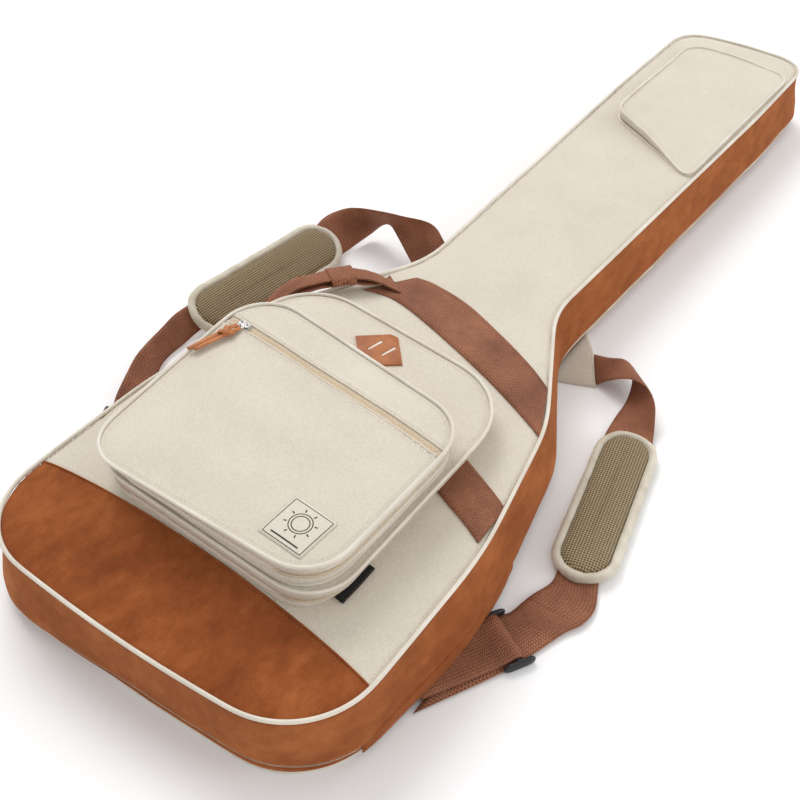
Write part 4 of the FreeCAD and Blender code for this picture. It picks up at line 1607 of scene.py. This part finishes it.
def tri_glide(side, centre, way):
    """The strap adjuster: two rails, two low bars and the raised bar that the tail turns round."""
    along = Vector((way[0], way[1], 0)).normalized()
    across = Vector((-along.y, along.x, 0))
    middle = Vector((centre[0], centre[1], 0)) * MM
    parts = []
    rail = 27.3 * MM
    for sign in (-1, 1):
        parts.append(rounded_box_parts(middle + across * sign * rail + Vector((0, 0, 5.2 * MM)),
                                       (15 * MM, 2.0 * MM, 4.4 * MM), along, power=5.0))
    for shift, z, thick in ((-13, 1.8, 1.5), (0, 8.6, 1.3), (13, 1.8, 1.5)):
        parts.append(rounded_box_parts(middle + along * shift * MM + Vector((0, 0, z * MM)),
                                       (2.4 * MM, rail, thick * MM), along, power=6.0))
    sew("strap_glide_" + side, joined(parts), GLIDE, "glide_" + side, "glide_plastic", "adjuster_" + side)


def strap_tail(side, centre, way, reach=92):
    """The strap's end: it turns round the glide's bar and runs back over the strap to its sewn hem."""
    along = Vector((way[0], way[1], 0)).normalized()
    across = Vector((-along.y, along.x, 0)) * 24.2
    middle = Vector((centre[0], centre[1], 0))
    pairs = []
    for shift, z in ((-reach, 6.4), (-reach * 0.7, 6.6), (-reach * 0.4, 6.6), (-20, 7.0), (-9, 9.4),
                     (-2, 11.4), (3.4, 10.2), (4.2, 8.0), (1.6, 6.6)):
        p = middle + along * shift + Vector((0, 0, z))
        pairs.append(((p + across)[:], (p - across)[:]))
    piece = strap("strap_end_" + side, pairs, None, "strap_tail_" + side, thickness=1.9 * MM)
    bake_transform(piece)


def make_straps():
    canvas_tab("strap_tab_sewn_right", [(84, 538, 1.5), (136, 559, 1.5), (106, 608, 1.5), (84, 634, 1.5)],
               "strap_tab_right")
    canvas_tab("strap_tab_sewn_left", [(-82, 560, 1.5), (-84, 640, 1.5), (-106, 632, 17), (-119, 598, 3)],
               "strap_tab_left")
    strap("strap_top_right", [
        ((134, 562, 2), (108, 605, 2)), ((150, 560, 18), (128, 603, 8)), ((171, 560, 31), (146, 600, 17)),
        ((192, 557, 33), (160, 593, 16)), ((207, 547, 26), (168, 578, 6)), ((216, 533, 14), (173, 556, 2)),
        ((223, 518, 6), (175, 527, 2)), ((228, 504, 5), (179, 497, 4)), ((231, 488, 4), (184, 478, 4)),
    ], "shell", "strap_upper_right")
    strap("strap_low_right", [
        ((261, 338, 4), (218, 334, 4)), ((266, 322, 4), (226, 318, 4)), ((276, 297, 4), (229, 300, 4)),
        ((275, 276, 5), (222, 276, 5)), ((266, 258, 4), (216, 252, 3)), ((254, 222, 3), (208, 240, 3)),
        ((243, 194, 3), (200, 214, 3)), ((204, 118, 3), (204, 200, 3)),
    ], "shell", "strap_lower_right", rows_of_stitches=(0.33, 0.45))
    strap("strap_top_left", [
        ((-112, 596, 4), (-98, 636, 16)), ((-150, 619, 12), (-122, 648, 36)),
        ((-177, 633, 25), (-143, 652, 49)), ((-197, 644, 30), (-172, 632, 60)),
        ((-212, 648, 22), (-204, 622, 61)), ((-224, 642, 9), (-232, 625, 52)),
        ((-229, 621, 5), (-253, 624, 43)), ((-230, 597, 5), (-264, 602, 40)),
        ((-231, 574, 6), (-270, 586, 30)), ((-232, 556, 7), (-274, 570, 22)),
    ], "shell", "strap_upper_left")
    strap("strap_low_left", [
        ((-268, 404, 5), (-293, 392, 28)), ((-274, 380, 4), (-294, 366, 28)),
        ((-272, 352, 4), (-291, 342, 26)), ((-271, 328, 4), (-288, 314, 24)),
        ((-265, 308, 4), (-283, 291, 22)), ((-252, 288, 4), (-275, 268, 17)),
        ((-238, 268, 4), (-268, 247, 10)), ((-222, 256, 4), (-262, 233, 4)),
        ((-204, 225, 3), (-225, 170, 3)),
    ], "shell", "strap_lower_left")
    shoulder_pad("right", (226, 411, 0), 203, 64, -77.6, 0, 120)
    shoulder_pad("left", (-262, 484, 15), 222, 68, -97, -28, 140)
    for side, centre, way in (("right", (228, 222), (0.496, 0.868)), ("left", (-234, 231), (-0.485, 0.875))):
        tri_glide(side, centre, way)
        strap_tail(side, centre, way)


# ---------------------------------------------------------------- carry handles

def folded_webbing(name, route, body, *nodes, width, crumple, seed):
    """Webbing folded in half along its length. route lists a centre, the side towards its open edges,
    and how far it is folded, from 0, flat, to 1."""
    centres = spline([Vector(c) for c, _, _ in route], 7)
    sides = spline([Vector(s).normalized() for _, s, _ in route], 7)
    folds = [v.x for v in spline([Vector((f, 0, 0)) for _, _, f in route], 7)]
    columns = 20
    rows = []
    uvs = []
    travelled = 0.0
    for index, (c, s, f) in enumerate(zip(centres, sides, folds)):
        if index:
            travelled += (c - centres[index - 1]).length
        f = min(1.0, max(0.0, f))
        s = s.normalized()
        row = []
        for k in range(columns + 1):
            u = 2 * k / columns - 1
            flat = (u * width / 2, 0.0)
            round_part = min(1.0, abs(u) / 0.16)
            rounding = math.copysign(3.3 * math.sin(round_part * math.pi / 2), u)
            folded = (width / 4 * (2 * abs(u) - 1), rounding)
            a = flat[0] * (1 - f) + folded[0] * f
            h = flat[1] * (1 - f) + folded[1] * f
            wrinkle = crumple * f * ripple(c.x * MM + a * MM, c.y * MM, h * MM * 2, 0.012, seed)
            wrinkle += 0.5 * crumple * f * ripple(c.x * MM, c.y * MM + a * MM, h * MM, 0.006, seed + 4)
            p = c + s * (a + wrinkle * 0.6) + Vector((0, 0, h + wrinkle))
            row.append(p * MM)
            uvs.append(((u + 1) * width / 2 * MM, travelled * MM))
        rows.append(row)
    vertices, faces = loft(rows, closed_columns=False)
    piece = new_object(name, vertices, faces, WEBBING, uvs)
    thicken(piece, 1.9 * MM)
    finish_piece(piece, body, "webbing", *nodes)


def make_handles():
    inner = Vector((0.82, -0.57, 0))
    route = [
        ((-174, 390, 80), inner, 0.3), ((-169, 398, 88), inner, 0.7), ((-158, 417, 95), inner, 1.0),
        ((-143, 436, 98), inner, 1.0), ((-125, 457, 99), inner, 1.0), ((-108, 471, 97), inner, 1.0),
        ((-97, 481, 93), inner, 0.85), ((-89, 487, 89.5), inner, 0.5), ((-82, 492, 87), inner, 0.2),
    ]
    folded_webbing("front_handle_web", route, "front_handle", "handle_front", width=42.0, crumple=1.9,
                   seed=150)
    centre = Vector((-126, 456, 99))
    along = Vector((58, 68, 0)).normalized()
    ring_rows = []
    for i in range(9):
        p = centre + along * (i - 4) * 3.4
        row = []
        for k in range(28):
            angle = math.tau * k / 28
            ca = math.copysign(abs(math.cos(angle)) ** 0.55, math.cos(angle))
            sa = math.copysign(abs(math.sin(angle)) ** 0.8, math.sin(angle))
            pinch = 1 + 0.03 * math.sin(i * 2.1 + k)
            row.append((p + inner * ca * 12.6 * pinch + Vector((0, 0, sa * 5.6))) * MM)
        ring_rows.append(row)
    vertices, faces = loft(ring_rows)
    piece = new_object("front_handle_wrap", vertices, faces, WEBBING, [(v.y, v.x) for v in vertices])
    thicken(piece, 1.4 * MM)
    finish_piece(piece, "front_handle", "webbing", "handle_wrap")
    pairs = []
    points = [Vector((x, y, 0)) for x, y in (
        (-157, 421), (-170, 431), (-178, 447), (-178, 467), (-170, 487), (-155, 505), (-132, 520),
        (-104, 526),
    )]
    for index, p in enumerate(points):
        step = points[min(index + 1, len(points) - 1)] - points[max(index - 1, 0)]
        side = Vector((-step.y, step.x, 0)).normalized() * 11.5
        pairs.append(((p + side + Vector((0, 0, 5)))[:], (p - side + Vector((0, 0, 5)))[:]))
    strap("back_handle_web", pairs, "back_handle", "handle_back", thickness=3.0 * MM,
          rows_of_stitches=(0.2, 0.8))
    for name, near, far in (("low", (-140, 414), (-158, 423)), ("high", (-84, 518), (-107, 527))):
        reach = Vector((far[0] - near[0], far[1] - near[1], 0))
        side = Vector((-reach.y, reach.x, 0)).normalized() * 12.5
        pairs = []
        for share in (0.0, 0.5, 1.0):
            p = Vector((near[0], near[1], 7.6 - 0.6 * share)) + reach * share
            pairs.append(((p + side)[:], (p - side)[:]))
        strap("back_handle_root_" + name, pairs, "shell", thickness=2.0 * MM)


# ---------------------------------------------------------------- zip sliders and pulls

def slider_body(name, node, body, centre, along, up):
    """A zip slider: two waisted plates, the post between them and the bridge that holds the pull."""
    along = Vector(along).normalized()
    up = Vector(up).normalized()
    centre = Vector(centre)
    parts = []
    for lift in (-1.5 * MM, 1.1 * MM):
        for shift, long, wide in ((-3.2, 3.4, 3.1), (0.6, 4.6, 3.9), (3.8, 2.6, 3.3)):
            parts.append(rounded_box_parts(centre + along * shift * MM + up * lift,
                                           (long * MM, wide * MM, 0.75 * MM), along, up, power=5.0))
    parts.append(rounded_box_parts(centre + along * 3.6 * MM, (1.2 * MM, 1.2 * MM, 2.0 * MM), along, up))
    bridge = []
    for i in range(9):
        angle = math.pi * i / 8
        bridge.append(centre - along * 5.2 * MM * math.cos(angle) + up * (1.4 + 2.6 * math.sin(angle)) * MM)
    parts.append(tube_parts(bridge, 0.95 * MM, closed=False, sides=8))
    sew(name, joined(parts), ZIP_METAL, body, "zip_metal", node)


def pull_ring_parts(centre, along, up, radius=3.4 * MM):
    """A wire ring, a little longer than wide."""
    wire = 0.75 * MM
    stretch = 1.35
    along = Vector(along).normalized()
    across = Vector(up).cross(along).normalized()
    path = []
    for i in range(24):
        angle = math.tau * i / 24
        forward = along * math.cos(angle) * radius * stretch
        path.append(Vector(centre) + forward + across * math.sin(angle) * radius)
    return tube_parts(path, wire, sides=7)


def leather_pull(name, node, body, slider, start, along, up, length, lace=4.6):
    """A flat lace looped through the slider's ring and knotted, with its two tails."""
    along = Vector(along).normalized()
    up = Vector(up).normalized()
    across = up.cross(along).normalized()
    ring = pull_ring_parts(start + along * 2.2 * MM + up * 0.4 * MM, along, up)
    sew(name + "_ring", ring, ZIP_METAL, slider, "zip_metal")

    def at(a, c, h):
        return start + (along * a + across * c + up * h) * MM

    def lace_parts(route, width):
        pairs = []
        points = [at(*p) for p in route]
        for index, p in enumerate(points):
            step = points[min(index + 1, len(points) - 1)] - points[max(index - 1, 0)]
            side = up.cross(step).normalized() * width / 2 * MM
            pairs.append((p + side, p - side))
        return ribbon_parts(pairs, 1.7 * MM, 5, 4, 0.5)[:2]

    knot = 15.0
    parts = [
        lace_parts([(3.5, -1.6, 1.4), (7, -2.6, 1.8), (12, -2.8, 2.0), (knot, -1.5, 2.0)], lace),
        lace_parts([(3.5, 1.6, 0.4), (7, 2.6, 1.0), (12, 2.8, 1.4), (knot, 1.5, 1.6)], lace),
        rounded_box_parts(at(knot + 2, 0, 1.7), (5.4 * MM, 4.4 * MM, 2.2 * MM), along, up, power=3.0),
        lace_parts([(knot - 4.5, -5.6, 1.2), (knot - 1, -3.2, 4.2), (knot + 4, 2.2, 4.4),
                    (knot + 6.5, 5.4, 1.4)], 5.6),
        lace_parts([(knot - 2.5, 5.4, 1.0), (knot + 2, 4.4, 3.6), (knot + 7, -2.6, 3.8),
                    (knot + 8.5, -4.8, 1.2)], 5.0),
        lace_parts([(knot + 4, -2.2, 1.4), (knot + 12, -3.2, 1.2), (length * 0.72, -3.6, 1.0),
                    (length, -2.9, 1.1)], lace),
        lace_parts([(knot + 4, 2.2, 1.6), (knot + 12, 2.2, 1.5), (length * 0.72, 1.4, 1.3),
                    (length - 4, 1.9, 1.4)], lace),
    ]
    sew(name, joined(parts), PULL_LEATHER, body, "pull_leather", node)


def box_middle(node):
    low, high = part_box(node)
    return (low + high) / 2


def make_sliders():
    along = Vector((ZIP_WAY.x, ZIP_WAY.y, 0))
    place = box_middle("face_zip_slider")
    slider_body("face_slider_body", "face_zip_slider", "face_slider", place + UP * 0.4 * MM, along, UP)
    pivot = Vector(joint_of("face_pull_hinge")["pos_m"])
    way = box_middle("face_zip_pull") - pivot
    way.z = 0
    leather_pull("face_pull_lace", "face_zip_pull", "face_pull", "face_slider",
                 pivot - way.normalized() * 4 * MM, way, UP, 58)
    place = box_middle("side_zip_slider")
    axis = joint_of("side_zip_slide")["axis"]
    along = Vector((axis[0], axis[1], 0))
    out = Vector((-abs(along.y), -along.x, 0)).normalized()
    slider_body("side_slider_body", "side_zip_slider", "side_slider", place + out * 0.4 * MM, along, out)
    pivot = Vector(joint_of("side_pull_hinge")["pos_m"])
    leather_pull("side_pull_lace", "side_zip_pull", "side_pull", "side_slider",
                 pivot - along * 4 * MM - out * 1.4 * MM, along, out, 52, 4.2)
    for letter in ("a", "b"):
        node = "main_slider_" + letter
        place = box_middle(node)
        axis = Vector(joint_of("main_zip_slide_" + letter)["axis"])
        out = Vector((-axis.y, axis.x, 0)).normalized()
        slider_body("main_slider_body_" + letter, node, node, place - out * 0.2 * MM, axis, out)
        metal_pull(letter, node + "_pull", out)


def metal_pull(letter, node, out):
    """A plain cast pull: a ring on the slider, and a tab with a slot that swings from it."""
    low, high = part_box(node)
    middle = (low + high) / 2
    reach = (high.y - low.y) / 2
    along = Vector((0.0256, -1, 0)).normalized()
    across = out.cross(along).normalized()
    ring = pull_ring_parts(middle - along * (reach - 3.5 * MM), along, out, radius=3.6 * MM)
    sew("main_pull_ring_" + letter, ring, ZIP_METAL, "main_slider_" + letter, "zip_metal")
    parts = []
    for side in (-1, 1):
        parts.append(rounded_box_parts(middle + across * side * 3.3 * MM + along * 3 * MM,
                                       (reach - 5 * MM, 1.5 * MM, 1.1 * MM), along, out, power=5.0))
    for shift in (-reach + 9 * MM, reach - 4 * MM):
        parts.append(rounded_box_parts(middle + along * shift, (3.0 * MM, 4.6 * MM, 1.15 * MM), along, out,
                                       power=4.0))
    sew("main_pull_tab_" + letter, joined(parts), ZIP_METAL, "main_pull_" + letter, "zip_metal", node)


# ---------------------------------------------------------------- camera, light and floor

CAMERA_LENS = 52.144
CAMERA_PLACE = Vector((0.49640, -0.31163, 0.84172))
CAMERA_AZIMUTH = 35.4068
CAMERA_ELEVATION = 43.0786


def look_along(azimuth, elevation):
    """The way back to the camera, from an azimuth round the object and a height over the floor in degrees."""
    a = math.radians(azimuth)
    e = math.radians(elevation)
    return Vector((math.sin(a) * math.cos(e), -math.cos(a) * math.cos(e), math.sin(e)))


def make_camera():
    data = bpy.data.cameras.new("camera")
    data.lens = CAMERA_LENS
    data.sensor_width = 36.0
    data.clip_start = 0.01
    camera = bpy.data.objects.new("camera", data)
    bpy.context.scene.collection.objects.link(camera)
    camera.location = CAMERA_PLACE
    camera.rotation_euler = look_along(CAMERA_AZIMUTH, CAMERA_ELEVATION).to_track_quat("Z", "Y").to_euler()
    bpy.context.scene.camera = camera


LIGHT_TARGET = Vector((0.0, 0.5, 0.05))


def area_light(name, direction, distance, size, power):
    data = bpy.data.lights.new(name, "AREA")
    data.size = size
    data.energy = power
    light = bpy.data.objects.new(name, data)
    bpy.context.scene.collection.objects.link(light)
    way = Vector(direction).normalized()
    light.location = LIGHT_TARGET + way * distance
    light.rotation_euler = way.to_track_quat("Z", "Y").to_euler()


def make_stage():
    mesh = bpy.data.meshes.new("floor")
    reach = 40.0
    mesh.from_pydata([(-reach, -reach, 0), (reach, -reach, 0), (reach, reach, 0), (-reach, reach, 0)], [],
                     [(0, 1, 2, 3)])
    floor = bpy.data.objects.new("floor", mesh)
    bpy.context.scene.collection.objects.link(floor)
    n = Nodes("floor")
    tone = n.ramp(n.noise(0.4, 2.0), [(0.3, (0.93, 0.93, 0.93)), (0.7, (0.95, 0.95, 0.95))])
    mesh.materials.append(n.finish(tone, 0.9, specular=0.1))
    area_light("key", (-0.85, 0.5, 1.15), 10.4, 5.2, 520)
    area_light("fill", (1.0, 0.35, 0.34), 12.0, 7.2, 400)
    area_light("back", (0.1, 1.4, 0.9), 12.0, 8.0, 90)
    world = bpy.data.worlds.new("world")
    world.use_nodes = True
    world.node_tree.nodes["Background"].inputs["Color"].default_value = (1.0, 1.0, 1.0, 1.0)
    world.node_tree.nodes["Background"].inputs["Strength"].default_value = 0.78
    bpy.context.scene.world = world
    bpy.context.scene.view_settings.view_transform = "Standard"


make_camera()
make_stage()
make_front()
make_gusset()
make_main_zip()
make_piping()
make_organizer()
make_front_pocket()
make_head_pocket()
make_bands()
make_lash_tab()
make_label()
make_back()
make_lining()
make_cradle()
make_hinges()
lower_head_pocket()
make_straps()
make_handles()
make_sliders()
